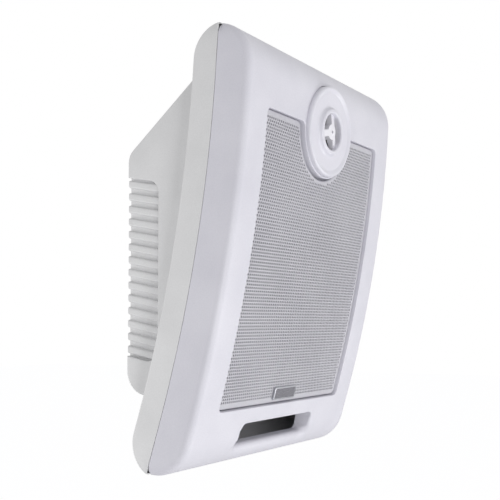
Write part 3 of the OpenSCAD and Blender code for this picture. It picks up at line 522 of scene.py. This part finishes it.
inward = np.array([0.0, np.cos(TWEETER_ANGLE), -np.sin(TWEETER_ANGLE)])
collar_plan = arc(0, 0, DISC_R + DISC_CLEAR, 0, 360, 128)[:-1] * [1, np.cos(TWEETER_ANGLE)] + [0, tweeter_mid]
collar_edge, collar_lip = edge_of_hole(FRONT, collar_plan, 0.25, inward)
collar_rows = np.concatenate([collar_lip, (face_at(FRONT, collar_plan) + COLLAR_DEPTH * inward)[None]])

slot_plan = round_rect(0, SLOT_Z, SLOT_W, SLOT_H, SLOT_R)
# The slot's edge is sharp above, at 0.4 mm, and grows to a 7 mm round where its outward normal turns down.
slot_down = np.clip(0.35 - normals(slot_plan)[:, 1], 0, 1)
slot_lip_r = 0.4 + 6.6 * slot_down**1.5
slot_edge, slot_lip = edge_of_hole(FRONT, slot_plan, slot_lip_r)
slot_rows = np.concatenate([slot_lip, flat_at(slot_plan, DUCT_END)[None],
                            flat_at(slot_plan + DUCT_WALL * normals(slot_plan), DUCT_END)[None]])


def face_points(half, x_half, step_x=9.0):
    """Extra points for a face: a grid of stations by even steps across."""
    w = stations(half)[1:-1]
    x = np.linspace(-x_half, x_half, int(2 * x_half / step_x) + 1)[1:-1]
    return np.stack(np.meshgrid(x, w, indexing="ij"), -1).reshape(-1, 2)


def face_border(half, x_half):
    """The face's own edge in flat coordinates: up one side, across the end and down the other side."""
    w = stations(half)
    across = np.linspace(x_half, -x_half, 41)[1:-1]
    return np.concatenate([np.stack([np.full(len(w), x_half), w], -1), np.stack([across, np.full(39, w[-1])], -1),
                           np.stack([np.full(len(w), -x_half), w[::-1]], -1),
                           np.stack([across[::-1], np.full(39, w[0])], -1)])


front_face = patch([face_border(FRONT, face_x)], [unroll(FRONT, e) for e in (pocket_edge, collar_edge, slot_edge)],
                   face_points(FRONT, face_x), lambda x, w: carry(FRONT, x, w, FRONT["end_r"]))
woofer_hole = arc(0, WOOFER_Z, WOOFER_HOLE_R, 0, 360, 120)[:-1]
baffle = flat_patch([pocket(-LEDGE_W, COLLAR_R)], [woofer_hole], 1, -BAFFLE_H - BAFFLE_T)
woofer_wall = np.stack([flat_at(woofer_hole, BAFFLE_H + BAFFLE_T), flat_at(woofer_hole, BAFFLE_H)])
bezel_parts = [grid(strip_right), grid(strip_left), front_face, grid(pocket_rows, True), baffle,
               grid(woofer_wall, True), grid(collar_rows, True), grid(slot_rows, True), rim_strip(FRONT, rim_k, rim_x)]
piece("bezel_shell", leaned(bezel_parts), silver_abs, replaces=["front_bezel"], toward=(0, -1, 0))

# %% [markdown]
# ## The rear cabinet
# The rear shell is made the same way, facing the wall. The box that grows from it is a side view carried across:
# a sloping top, a flat back and a bottom with a large round. Its skin is unrolled to a flat region, so that
# the keyholes, the terminal's rebate and the ribbed panels can be cut out of it before it is bent.

# %% Sizes of the box in millimetres
BOX_W, BOX_TOP, BOX_BOTTOM, BOX_SLOPE = 176.0, 69.4, 79.0, np.radians(39.4)
BOX_TOP_R, BOX_BOTTOM_R, BOX_EDGE = 10.0, 15.0, 1.4
RIB_COUNT, RIB_PITCH, RIB_TIP, RIB_FOOT = 14, 7.9, 3.8, 5.2
RIB_INSET, RIB_DEPTH, RIB_REACH, RIB_CORNER = 1.4, 2.2, 24.2, 8.0
PANEL_HALF = RIB_COUNT * RIB_PITCH / 2
bow_centre = lean(np.array([0.0, SEAM_R, 0.0]))[1:]
rear_r = SEAM_R - BACK["depth"]


def meet_rear(start, direction, depth):
    """Where a line in the side view reaches the slab's rear face, a little below its surface: the root ahead of
    |start + t direction - centre| = radius."""
    d, s = np.asarray(direction, float), np.asarray(start, float) - bow_centre
    b, c = s @ d, s @ s - (rear_r + depth) ** 2
    t = -b + np.sqrt(b * b - c)
    return np.asarray(start, float) + t * d


def side_view(inset=0.0, depth=1.4):
    """The box's outline from its lower front edge round the back to its upper front edge, as (y, z). It has the same
    number of points at every inset, and two of them at the ends of the ribbed panel."""
    fall, rise = np.array([-1.0, 0.0]), np.array([-np.cos(BOX_SLOPE), np.sin(BOX_SLOPE)])
    rb, rt = BOX_BOTTOM_R - inset, BOX_TOP_R - inset
    low = np.array([-BOX_BOTTOM_R, -BOX_BOTTOM + BOX_BOTTOM_R])
    turn = np.pi / 2 - BOX_SLOPE
    high = np.array([-BOX_TOP_R, BOX_TOP - BOX_TOP_R * np.tan(turn / 2)])
    lower = arc(*low, rb, -90, 0, 16)
    upper = arc(*high, rt, 0, np.degrees(turn), 12)
    a, b = meet_rear(lower[0], fall, depth), meet_rear(upper[-1], rise, depth)
    stops = [lower[-1], [-inset, -PANEL_HALF], [-inset, PANEL_HALF], upper[0]]
    back = [np.linspace(p, q, n + 1)[1:] for p, q, n in zip(stops, stops[1:], (3, 37, 3))]
    return np.concatenate([np.linspace(a, lower[0], 14)[:-1], lower, *back[:2], back[2][:-1], upper,
                           np.linspace(upper[-1], b, 10)[1:]])


outline = side_view()
inner_line = side_view(BOX_EDGE)
print("points round the side view:", len(outline))

# %% Wrap the box's skin
run = np.concatenate([[0], np.cumsum(np.linalg.norm(np.diff(outline, axis=0), axis=1))])
back_row = np.argmin(np.abs(outline[:, 0]) + np.abs(outline[:, 1]))
back_s = run[back_row] - outline[back_row, 1]


def wrap(x, s):
    """Flat coordinates of the skin to space: s is the length along the side view."""
    return np.stack([x, np.interp(s, run, outline[:, 0]), np.interp(s, run, outline[:, 1])], -1)


def on_back(plan):
    """Points (x, z) of the flat back in the skin's flat coordinates."""
    return np.stack([plan[:, 0], plan[:, 1] + back_s], -1)


def back_hole(plan, radius, depth, through=()):
    """Rounds the back into a recess whose floor is left open inside the loops of through. Returns the loop where
    the back stops and the parts of the recess."""
    wide = plan + normals(plan) * radius
    rows = np.concatenate([round_over(flat_at(wide, 0), flat_at(plan, 0), flat_at(plan, radius), 4),
                           flat_at(plan, depth)[None]])
    return wide, [grid(rows, True), flat_patch([plan], through, 1, -depth)]


KEYHOLE_X, KEYHOLE_Z, KEYHOLE_DROP, KEYHOLE_R, KEYHOLE_SLOT = 62.0, 44.0, 10.0, 4.5, 2.25
WALL, HEAD_DEPTH, HEAD_ROOM = 3.0, 7.0, (11.0, 21.0, 3.0)


def keyhole(cx):
    """A round entry under a narrow slot, counterclockwise."""
    meet = np.degrees(np.arccos(KEYHOLE_SLOT / KEYHOLE_R))
    top = arc(cx, KEYHOLE_Z, KEYHOLE_SLOT, 0, 180, 14)
    entry = arc(cx, KEYHOLE_Z - KEYHOLE_DROP, KEYHOLE_R, 180 - meet, 360 + meet, 36)
    left, right = (spaced(ends, 1.0)[1:-1] for ends in ([top[-1], entry[0]], [entry[-1], top[0]]))
    return np.concatenate([top, left, entry, right])


hole_loops, cabinet_parts = [], []
for cx in (-KEYHOLE_X, KEYHOLE_X):
    loop, parts = back_hole(keyhole(cx), 0.35, WALL)
    hole_loops.append(loop)
    widened = round_rect(cx, KEYHOLE_Z - KEYHOLE_DROP / 2, *HEAD_ROOM)
    cabinet_parts += [parts[0], flat_patch([widened], [keyhole(cx)], 1, -WALL),
                      grid(np.stack([flat_at(widened, WALL), flat_at(widened, HEAD_DEPTH)]), True),
                      flat_patch([widened], [], 1, -HEAD_DEPTH)]
CUP_Z, REBATE_D, REBATE, CUP_HOLE = 47.0, 2.6, (65.6, 25.6, 2.0), (52.4, 24.4, 1.5)
loop, parts = back_hole(round_rect(0, CUP_Z, *REBATE), 0.3, REBATE_D, [round_rect(0, CUP_Z, *CUP_HOLE)])
hole_loops.append(loop)
cabinet_parts += parts

half_w = BOX_W / 2
edge_x = half_w - BOX_EDGE
floor_x = half_w - RIB_INSET - RIB_DEPTH
fall = np.tan(TILT)
border = np.concatenate([np.stack([np.full(len(run), edge_x), run], -1),
                         np.stack([np.full(len(run), -edge_x), run[::-1]], -1)])
PAST = 200.0  # well past the skin's edges, so that a cut runs right through them
notches = [np.array([[s * floor_x, -PANEL_HALF + back_s], [s * PAST, -PANEL_HALF + back_s],
                     [s * PAST, PANEL_HALF + back_s], [s * floor_x, PANEL_HALF + back_s]]) for s in (-1, 1)]
across = np.linspace(-edge_x, edge_x, 20)[1:-1]
inner_grid = np.stack(np.meshgrid(across, run[1:-1:2], indexing="ij"), -1).reshape(-1, 2)
skin = patch([border], [on_back(h) for h in hole_loops] + notches, inner_grid, wrap)
cabinet_parts.append(skin)


# %% The box's sides
def panel(back=0.0, step=1.5):
    """The ribbed panel's outline in the side view, with its upper and lower edges along the slab's draw and its
    front corners rounded, counterclockwise from the lower back."""
    low, high = -PANEL_HALF, PANEL_HALF
    f = -RIB_REACH
    lower, upper = np.array([f, low + f * fall]), np.array([f, high + f * fall])
    a, b = np.array([back, low + back * fall]), np.array([back, high + back * fall])

    def soft(p, q, r):
        u, v = (p - q) / np.linalg.norm(p - q), (r - q) / np.linalg.norm(r - q)
        leg = RIB_CORNER / np.tan(np.arccos(u @ v) / 2)
        return round_over((q + u * leg)[None], q[None], (q + v * leg)[None], 12)[:, 0]

    return spaced(np.concatenate([[b], soft(b, upper, lower), soft(upper, lower, a), [a]]), step)


def mirrored(parts):
    """The same parts on the other side: x changes sign."""
    return [(p * [-1, 1, 1], f) for p, f in parts]


side_parts = []
front_line = np.array([bow_centre + (rear_r + 1.4) * np.array([-np.cos(t), -np.sin(t)])
                       for t in np.linspace(*[np.arctan2(bow_centre[1] - p[1], bow_centre[0] - p[0])
                                              for p in (inner_line[-1], inner_line[0])], 60)])
side_loop = np.concatenate([inner_line, front_line[1:-1]])
rib_panel = panel()
out_dir = np.gradient(rib_panel, axis=0)
out_dir = np.stack([out_dir[:, 1], -out_dir[:, 0]], -1) / np.linalg.norm(out_dir, axis=1)[:, None]
out_dir *= np.sign(((rib_panel - rib_panel.mean(0)) * out_dir).sum(1).mean())
rib_edge = rib_panel + 0.5 * out_dir
open_panel = np.concatenate([rib_edge, [[40, rib_edge[-1, 1]], [40, rib_edge[0, 1]]]])
side_parts.append(flat_patch([side_loop], [open_panel], 0, half_w))
wall_rows = round_over(np.insert(rib_edge, 0, half_w, 1), np.insert(rib_panel, 0, half_w, 1),
                       np.insert(rib_panel, 0, half_w - 0.5, 1), 4)
wall_rows = np.concatenate([wall_rows, np.insert(rib_panel, 0, floor_x, 1)[None]])
into_edge = np.clip(wall_rows[..., 1] + BOX_EDGE, 0, BOX_EDGE)
wall_rows[..., 0] = np.minimum(wall_rows[..., 0], edge_x + np.sqrt(BOX_EDGE**2 - into_edge**2))
side_parts.append(grid(wall_rows))
side_parts.append(flat_patch([rib_panel], [], 0, floor_x))

at_back = (outline[:, 1] > -PANEL_HALF - 0.01) & (outline[:, 1] < PANEL_HALF + 0.01) & (outline[:, 0] > -0.01)
first, last = np.nonzero(at_back)[0][[0, -1]]
for low, high in ((0, first + 1), (last, len(outline))):
    o, i = outline[low:high], inner_line[low:high]
    rows = [np.insert(line, 0, x, 1) for line, x in ((o, edge_x), (o, half_w), (i, half_w))]
    side_parts.append(grid(round_over(*rows, 5)))
cabinet_parts += side_parts + mirrored(side_parts)

# %% [markdown]
# The ribs are drawn one by one from their cross-section: a bar that narrows to its tip, with the tip's corners
# rounded. They run along the direction in which the slab leaves its mould, so they rise a little to the wall.


# %% Ribs
def rib(centre):
    """One rib as a grid: its section (x, height) carried from the panel's front edge to the back, where each
    section point at height v lies at z = centre + v / cos(tilt) + y tan(tilt)."""
    tip_x, t, f, r = half_w - RIB_INSET, RIB_TIP / 2, RIB_FOOT / 2, 0.7
    corner = np.array([tip_x, t])
    flank, face = np.array([[tip_x - r, t + r * (f - t) / RIB_DEPTH]]), np.array([[tip_x, t - r]])
    upper = np.concatenate([[[floor_x - 0.2, f]], round_over(flank, corner[None], face, 5)[:, 0]])
    profile = np.concatenate([upper, (upper * [1, -1])[::-1]])
    rise = profile[:, 1] / np.cos(TILT)
    gap = np.clip(RIB_CORNER - (PANEL_HALF - np.abs(centre + rise)), 0, RIB_CORNER)
    start = -RIB_REACH - 0.1 + RIB_CORNER - np.sqrt(RIB_CORNER**2 - gap**2)
    y = start + (0 - start) * np.linspace(0, 1, 6)[:, None]
    z = centre + rise + y * fall
    rows = np.stack([np.broadcast_to(profile[:, 0], y.shape), y, z], -1)
    cap = rows[-1]
    middle = np.broadcast_to(cap.mean(0), cap.shape)
    return grid(np.concatenate([rows, middle[None]]))


rib_parts = [rib((i - (RIB_COUNT - 1) / 2) * RIB_PITCH) for i in range(RIB_COUNT)]
rib_parts += mirrored(rib_parts)

# %% The rear shell's face, with the box's footprint and the screw holes left open
BACK_SCREWS = [(x, z) for x in (-92.4, 92.4) for z in (-103.0, 0.0, 103.0)]
SINK_R, SINK_H, SHANK_R = 3.2, -11.4, 1.7
back_right, back_k, back_x = side_strip(BACK, 1)
back_left, _, _ = side_strip(BACK, -1)
back_face_x = back_right[0, -1, 0]
unlean = np.array([[np.cos(TILT), -np.sin(TILT)], [np.sin(TILT), np.cos(TILT)]])
ends = (np.array([outline[0], outline[-1]]) - [-REACH, RISE]) @ unlean
foot_low, foot_high = ends[0, 1] + 2.0, ends[1, 1] - 2.0
foot = round_rect(0, (foot_low + foot_high) / 2, BOX_W - 8, foot_high - foot_low, 2.0, 4.0)
screw_loops, screw_parts = [], []
for x, z in BACK_SCREWS:
    plan = arc(x, z, SINK_R, 0, 360, 32)[:-1]
    wide, rows = edge_of_hole(BACK, plan, 0.3, (0.0, -1.0, 0.0))
    deep = flat_at(plan, SINK_H)
    screw_loops.append(wide)
    shoulder = flat_at(arc(x, z, SHANK_R, 0, 360, 32)[:-1], SINK_H)
    screw_parts.append(grid(np.concatenate([rows, deep[None], shoulder[None]]), True))
back_face = patch([face_border(BACK, back_face_x)], [unroll(BACK, foot)] + [unroll(BACK, e) for e in screw_loops],
                  face_points(BACK, back_face_x), lambda x, w: carry(BACK, x, w, BACK["end_r"]))
slab_back = [grid(back_right), grid(back_left), back_face, rim_strip(BACK, back_k, back_x)] + screw_parts
piece("cabinet_slab_half", leaned(slab_back), white_abs, replaces=["rear_cabinet"], toward=(0, 0, -1))
piece("cabinet_box", cabinet_parts, white_abs, replaces=["rear_cabinet"], toward=(0, 1, 0))
piece("cabinet_ribs", rib_parts, white_abs, replaces=["rear_cabinet"])

# %% [markdown]
# ## The perforated grille
# Punched sheet with staggered round holes of 1.7 mm, 2.25 mm apart, which is over five thousand holes.
# At this distance a hole is two pixels wide, so a six-sided hole reads as round. Each hole owns a six-sided cell
# of the sheet, and the cells fit together like a honeycomb; only the plain margin needs its own triangles.

# %% Grille
HOLE_PITCH, HOLE_R, SHEET, MARGIN, COLLAR_MARGIN, FOLD = 2.25, 0.84, 0.9, 2.7, 2.2, 2.5
GAP, BEND, ROWS_DOWN = 0.5, 0.9, 0.8
BADGE_W, BADGE_H, BADGE_MARGIN, UNDER_BADGE = 27.4, 8.4, 2.2, 0.8
badge_z = -POCKET_BOTTOM + GAP + BADGE_MARGIN + BADGE_H / 2
row_pitch = HOLE_PITCH * np.sqrt(3) / 2
rows_n, cols_n = 96, 68
j, i = np.meshgrid(np.arange(rows_n), np.arange(cols_n), indexing="ij")
centres = np.stack([(i - cols_n / 2 + 0.5 * (j % 2)) * HOLE_PITCH, (j - rows_n / 2) * row_pitch - ROWS_DOWN], -1)
centres = centres.reshape(-1, 2)
bare_r = COLLAR_R + COLLAR_GAP + COLLAR_MARGIN
kept = inside(centres, pocket(-GAP - MARGIN, bare_r))
kept &= (centres[:, 1] - tweeter_mid) ** 2 + centres[:, 0] ** 2 > bare_r**2
kept &= ~((np.abs(centres[:, 0]) < BADGE_W / 2 - UNDER_BADGE)
          & (np.abs(centres[:, 1] - badge_z) < BADGE_H / 2 - UNDER_BADGE))
cells = centres[kept]
spokes = np.radians(30 + 60 * np.arange(6))
star = np.stack([np.cos(spokes), np.sin(spokes)], -1)
outer = cells[:, None] + star * HOLE_PITCH / np.sqrt(3)
hole = cells[:, None] + star * HOLE_R
n = len(cells)
flat_points = np.concatenate([outer.reshape(-1, 2), hole.reshape(-1, 2)])
top = at_height(flat_points, GRILLE_H)
bottom = at_height(hole.reshape(-1, 2), GRILLE_H - SHEET)
a = np.arange(6)
ring = np.stack([a, (a + 1) % 6, 6 * n + (a + 1) % 6, 6 * n + a], -1)
wall = np.stack([6 * n + a, 6 * n + (a + 1) % 6, 12 * n + (a + 1) % 6, 12 * n + a], -1)
quads = (np.concatenate([ring, wall])[None] + 6 * np.arange(n)[:, None, None]).reshape(-1, 4)
print("holes in the grille:", n)

# %% Its plain margin and folded edge
corner_key = np.round(outer.reshape(-1, 2), 3)
unique, index = np.unique(corner_key, axis=0, return_inverse=True)
index = index.reshape(n, 6)
pairs = np.stack([index, np.roll(index, -1, 1)], -1).reshape(-1, 2)
sorted_pairs = np.sort(pairs, 1)
_, first_seen, count = np.unique(sorted_pairs, axis=0, return_index=True, return_counts=True)
rim_pairs = pairs[first_seen[count == 1]]
used, renumber = np.unique(rim_pairs, return_inverse=True)
rim_edges = renumber.reshape(-1, 2)
exact = np.zeros((len(unique), 2))
exact[index.reshape(-1)] = outer.reshape(-1, 2)
border = pocket(-GAP - BEND, COLLAR_R + COLLAR_GAP + BEND)
flat = np.concatenate([exact[used], border])
edges = [tuple(e) for e in rim_edges.tolist()]
edges += [(len(used) + k, len(used) + (k + 1) % len(border)) for k in range(len(border))]
points, _, faces, *_ = delaunay_2d_cdt([tuple(p) for p in flat.tolist()], edges, [], 0, 1e-5)
points, faces = np.array([tuple(p) for p in points]), np.array(faces)
middle = points[faces].mean(1)
lattice = np.round((middle[:, 1] + ROWS_DOWN) / row_pitch)
nearest, taken = np.full(len(middle), np.inf), np.zeros(len(middle), bool)
for step in (-1, 0, 1):
    row = lattice + step
    shift = 0.5 * ((row + rows_n / 2) % 2)
    col = np.round(middle[:, 0] / HOLE_PITCH + cols_n / 2 - shift)
    cx, cy = (col - cols_n / 2 + shift) * HOLE_PITCH, row * row_pitch - ROWS_DOWN
    d = (middle[:, 0] - cx) ** 2 + (middle[:, 1] - cy) ** 2
    number = (row + rows_n / 2).astype(int) * cols_n + col.astype(int)
    ok = (number >= 0) & (number < len(kept)) & (d < nearest)
    nearest = np.where(ok, d, nearest)
    taken = np.where(ok, kept[np.clip(number, 0, len(kept) - 1)], taken)
margin = inside(middle, border) & ~taken
edge_line = pocket(-GAP, COLLAR_R + COLLAR_GAP)
face_row, corner_row = at_height(border, GRILLE_H), at_height(edge_line, GRILLE_H)
fold_rows = np.concatenate([round_over(face_row, corner_row, corner_row + [0, BEND, 0], 6),
                            at_height(edge_line, GRILLE_H - FOLD)[None]])
margin_points, margin_faces = trimmed(points, faces[margin])
grille_parts = [(np.concatenate([top, bottom]), quads), (at_height(margin_points, GRILLE_H), margin_faces),
                grid(fold_rows, True)]
piece("perforated_grille", leaned(grille_parts), powder_coat, replaces=["grille"], toward=(0, -1, 0),
      sharp=40)


# %% [markdown]
# ## The tweeter
# The tweeter's face is turned about its axis: a round outer rim, a shallow dish, a raised lip and a deep throat.
# In the throat's mouth sits the phase plug, whose three arms keep sound from the dome's middle and edge in step.


# %% Turned forms on the tweeter's axis
def on_bow(points, angle=TWEETER_ANGLE):
    """A frame on the bow to the slab's frame: h runs out along the bow's normal at the angle, v along its tangent."""
    x, v, h = points[..., 0], points[..., 1], points[..., 2]
    s, c = np.sin(angle), np.cos(angle)
    return np.stack([x, SEAM_R - (SEAM_R + h) * c + v * s, (SEAM_R + h) * s + v * c], -1)


def turned(profile, n=128):
    """A profile (radius, height) turned about the axis: x = r cos a, v = r sin a."""
    a = np.linspace(0, 2 * np.pi, n, endpoint=False)
    r, h = profile[:, 0][:, None], profile[:, 1][:, None]
    return grid(on_bow(np.stack([r * np.cos(a), r * np.sin(a), np.broadcast_to(h, (len(profile), n))], -1)), True)


THROAT_R, LIP_TOP = 11.9, 1.2
disc_h = FRONT["depth"] + 2.8
PLUG_TOP, PLUG_FALL, ARMS = disc_h + 0.4, 2.4, (75, 195, 315)
plug_foot = PLUG_TOP - PLUG_FALL - 2.6
HUB_R, HUB_HOLE_R, ARM_OUTER, ARM_INNER, THROAT_DEPTH = 5.0, 1.1, 2.4, 2.1, 13.0
face_profile = np.concatenate([
    [[THROAT_R, plug_foot], [THROAT_R, disc_h - 2.0]],
    arc(THROAT_R + 1.2, disc_h + LIP_TOP - 1.2, 1.2, 180, 75, 8),
    arc(THROAT_R + 1.9, disc_h + LIP_TOP - 1.55, 1.4, 70, 10, 5),
    arc(THROAT_R + 5.2, disc_h + 0.35, 1.9, 200, 265, 5),
    [[20.5, disc_h - 1.5], [24.3, disc_h - 1.1]],
    arc(25.2, disc_h - 0.6, 0.6, 265, 300, 3),
    arc(DISC_R - 1.7, disc_h - 1.7, 1.7, 105, 0, 10),
    [[DISC_R, disc_h - 12.0]],
])


def plug_windows():
    """The three openings between the plug's arms: each a ring's sector, drawn in by half an arm on both sides."""
    loops = []
    for middle in (a + 60 for a in ARMS):
        outer_half = 60 - np.degrees(np.arcsin(ARM_OUTER / THROAT_R))
        inner_half = 60 - np.degrees(np.arcsin(ARM_INNER / HUB_R))
        loops.append(np.concatenate([arc(0, 0, THROAT_R - 0.05, middle - outer_half, middle + outer_half, 32),
                                     arc(0, 0, HUB_R, middle + inner_half, middle - inner_half, 16)]))
    return loops


windows = plug_windows()
plug_rim = arc(0, 0, THROAT_R + 0.4, 0, 360, 96)[:-1]
hub_hole = arc(0, 0, HUB_HOLE_R, 0, 360, 20)[:-1]
plug_extra = np.concatenate([arc(0, 0, r, 0, 360, int(4 * r))[:-1] for r in (2.2, 3.4, 4.4)])


def plug_face(x, v):
    """The plug's front stands highest at its hub and falls away along its arms: top - fall (r / throat)^2."""
    return on_bow(np.stack([x, v, PLUG_TOP - PLUG_FALL * (x**2 + v**2) / THROAT_R**2], -1))


plug_parts = [patch([plug_rim], windows + [hub_hole], plug_extra, plug_face)]
for loop in windows + [hub_hole]:
    top_row = plug_face(loop[:, 0], loop[:, 1])
    low_row = on_bow(np.insert(loop, 2, plug_foot, 1))
    plug_parts.append(grid(np.stack([top_row, low_row]), True))
# The deep throat below the plug's foot is given black plastic as painted shade: it is dark from its depth, and shows
# only through the plug's windows.
throat_profile = np.array([[THROAT_R, disc_h - THROAT_DEPTH], [THROAT_R, plug_foot]])
for name, parts, material in (("tweeter_face", [turned(face_profile)], smooth_abs),
                              ("tweeter_throat", [turned(throat_profile)], black_abs_and_throat_shade),
                              ("tweeter_phase_plug", plug_parts, plug_abs)):
    piece(name, leaned(parts), material, replaces=["tweeter_faceplate"], toward=(0, -1, 0))

# %% [markdown]
# ## The badge
# A small plain plate on the grille. It carries nothing: a brushed rim stands round a field of grey lacquer, as on
# a cast badge whose low ground has been filled with paint.

# %% Badge
badge_angle = badge_z / (SEAM_R + GRILLE_H)


def level_loop(inset, height):
    """The badge's outline shrunk by inset at a height."""
    return np.insert(badge_loop - normals(badge_loop) * inset, 2, height, 1)


BADGE_T, BADGE_CORNER, SOFT, RIM, SUNK = 1.6, 0.9, 0.3, 0.85, 0.3
badge_loop = round_rect(0, 0, BADGE_W, BADGE_H, BADGE_CORNER)
badge_top, badge_foot = GRILLE_H + BADGE_T, GRILLE_H + 0.02
badge_rows = np.concatenate([
    np.stack([level_loop(0, badge_foot)]),
    round_over(level_loop(0, badge_top - SOFT), level_loop(0, badge_top), level_loop(SOFT, badge_top), 5),
    np.stack([level_loop(RIM, badge_top), level_loop(RIM + 0.1, badge_top - SUNK)])])
badge_field = badge_loop - normals(badge_loop) * (RIM + 0.1)
badge_rim = [grid(badge_rows, True), flat_patch([badge_loop], [], 2, badge_foot)]
for name, parts, material in (("badge_rim", badge_rim, badge_metal),
                              ("badge_field", [flat_patch([badge_field], [], 2, badge_top - SUNK)], badge_lacquer)):
    piece(name, leaned([(on_bow(p, badge_angle), f) for p, f in parts]), material, replaces=["badge"],
          toward=(0, -1, 0))

# %% [markdown]
# ## Finishes for the frame's own nodes
# The inner pieces keep their CAD shapes. They show only through the grille's holes, the slot and the back, so
# each gets the finish of its real material.

# %% Finish the CAD nodes
finishes = (
    (rubber, "seam_gasket woofer_gasket woofer_surround"),
    (paper, "woofer_cone woofer_dust_cap"),
    (silk, "tweeter_diaphragm"),
    (spider_cloth, "woofer_spider"),
    (copper, "tweeter_voice_coil woofer_voice_coil crossover_inductor"),
    (zinc, "tweeter_top_plate tweeter_yoke woofer_top_plate woofer_yoke case_screws woofer_screws tweeter_screws "
           "board_screws"),
    (ferrite, "tweeter_magnet woofer_magnet"),
    (black_steel, "woofer_basket terminal_screws"),
    (laminate, "crossover_board"),
    (sleeve, "crossover_capacitors"),
    (cement, "crossover_resistor"),
    (wadding, "damping_wadding"),
    (black_abs_and_throat_shade, "terminal_cup terminal_lever_black"),
    (red_abs, "terminal_lever_red"),
    (brass, "terminal_contacts terminal_spring_red terminal_spring_black"),
)
finished = [(name, material) for material, names in finishes for name in names.split()]
for name, material in finished:
    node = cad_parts[name]
    node.data.materials.clear()
    node.data.materials.append(material)
print("finished nodes:", len(finished))

# %% [markdown]
# ## Light and floor
# A white cloth studio: two large soft lamps low in front, to the left and the right, and a small one low behind,
# which brightens the side of the box. Light Path makes the backdrop white to the camera without more light.

# %% Lamps, world and floor
def lamp(name, where, target, size, watts):
    """A square area lamp at a place, turned to look at a target."""
    light = bpy.data.lights.new(name, "AREA")
    light.shape, light.size, light.energy = "SQUARE", size, watts
    obj = bpy.data.objects.new(name, light)
    z = np.asarray(where, float) - np.asarray(target, float)
    z /= np.linalg.norm(z)
    x = np.cross([0, 0, 1], z)
    x /= np.linalg.norm(x)
    m = np.eye(4)
    m[:3, 0], m[:3, 1], m[:3, 2], m[:3, 3] = x, np.cross(z, x), z, where
    obj.matrix_world = Matrix(m.tolist())
    bpy.context.scene.collection.objects.link(obj)
    return obj


lamp("key_softbox", (-0.8, -1.25, -0.45), (0, -0.06, 0), 0.5, 7.2)
lamp("low_softbox", (0.7, -1.1, -0.75), (0, -0.06, -0.05), 1.0, 10)
lamp("rear_softbox", (-0.35, 0.6, -0.15), (-0.09, 0.0, 0.0), 0.4, 2.0)

world = bpy.data.worlds.new("white_studio")
bpy.context.scene.world = world
world.use_nodes = True
tree = world.node_tree
tree.nodes.clear()
rays = add(tree, "ShaderNodeLightPath")
seen = add(tree, "ShaderNodeMath", {0: rays.outputs["Is Camera Ray"], 1: rays.outputs["Is Glossy Ray"]},
           operation="MAXIMUM")
seen = add(tree, "ShaderNodeMath", {0: seen.outputs[0], 1: rays.outputs["Is Transmission Ray"]}, operation="MAXIMUM")
fill = add(tree, "ShaderNodeBackground", {"Color": (1, 1, 1, 1), "Strength": 0.5})
white = add(tree, "ShaderNodeBackground", {"Color": (1, 1, 1, 1), "Strength": 1.0})
both = add(tree, "ShaderNodeMixShader", {0: seen.outputs[0], 1: fill.outputs[0], 2: white.outputs[0]})
add(tree, "ShaderNodeOutputWorld", {"Surface": both.outputs[0]})

floor_paint = bpy.data.materials.new("white_studio_floor")
floor_paint.use_nodes = True
tree = floor_paint.node_tree
tree.nodes.clear()
rays = add(tree, "ShaderNodeLightPath")
cloth = add(tree, "ShaderNodeBsdfDiffuse", {"Color": linear("#f2f2f3")})
glow = add(tree, "ShaderNodeEmission", {"Color": (1, 1, 1, 1), "Strength": 0.55})
lifted = add(tree, "ShaderNodeAddShader", {0: cloth.outputs[0], 1: glow.outputs[0]})
both = add(tree, "ShaderNodeMixShader", {0: rays.outputs["Is Camera Ray"], 1: cloth.outputs[0], 2: lifted.outputs[0]})
add(tree, "ShaderNodeOutputMaterial", {"Surface": both.outputs[0]})
floor_mesh = bpy.data.meshes.new("floor")
FLOOR_Z, FLOOR_HALF = -0.9, 14
floor_mesh.from_pydata([(x * FLOOR_HALF, y * FLOOR_HALF, FLOOR_Z) for x, y in ((-1, -1), (1, -1), (1, 1), (-1, 1))],
                       [], [(0, 1, 2, 3)])
floor_mesh.materials.append(floor_paint)
floor = bpy.data.objects.new("floor", floor_mesh)
bpy.context.scene.collection.objects.link(floor)
bpy.context.scene.view_settings.view_transform = "Standard"
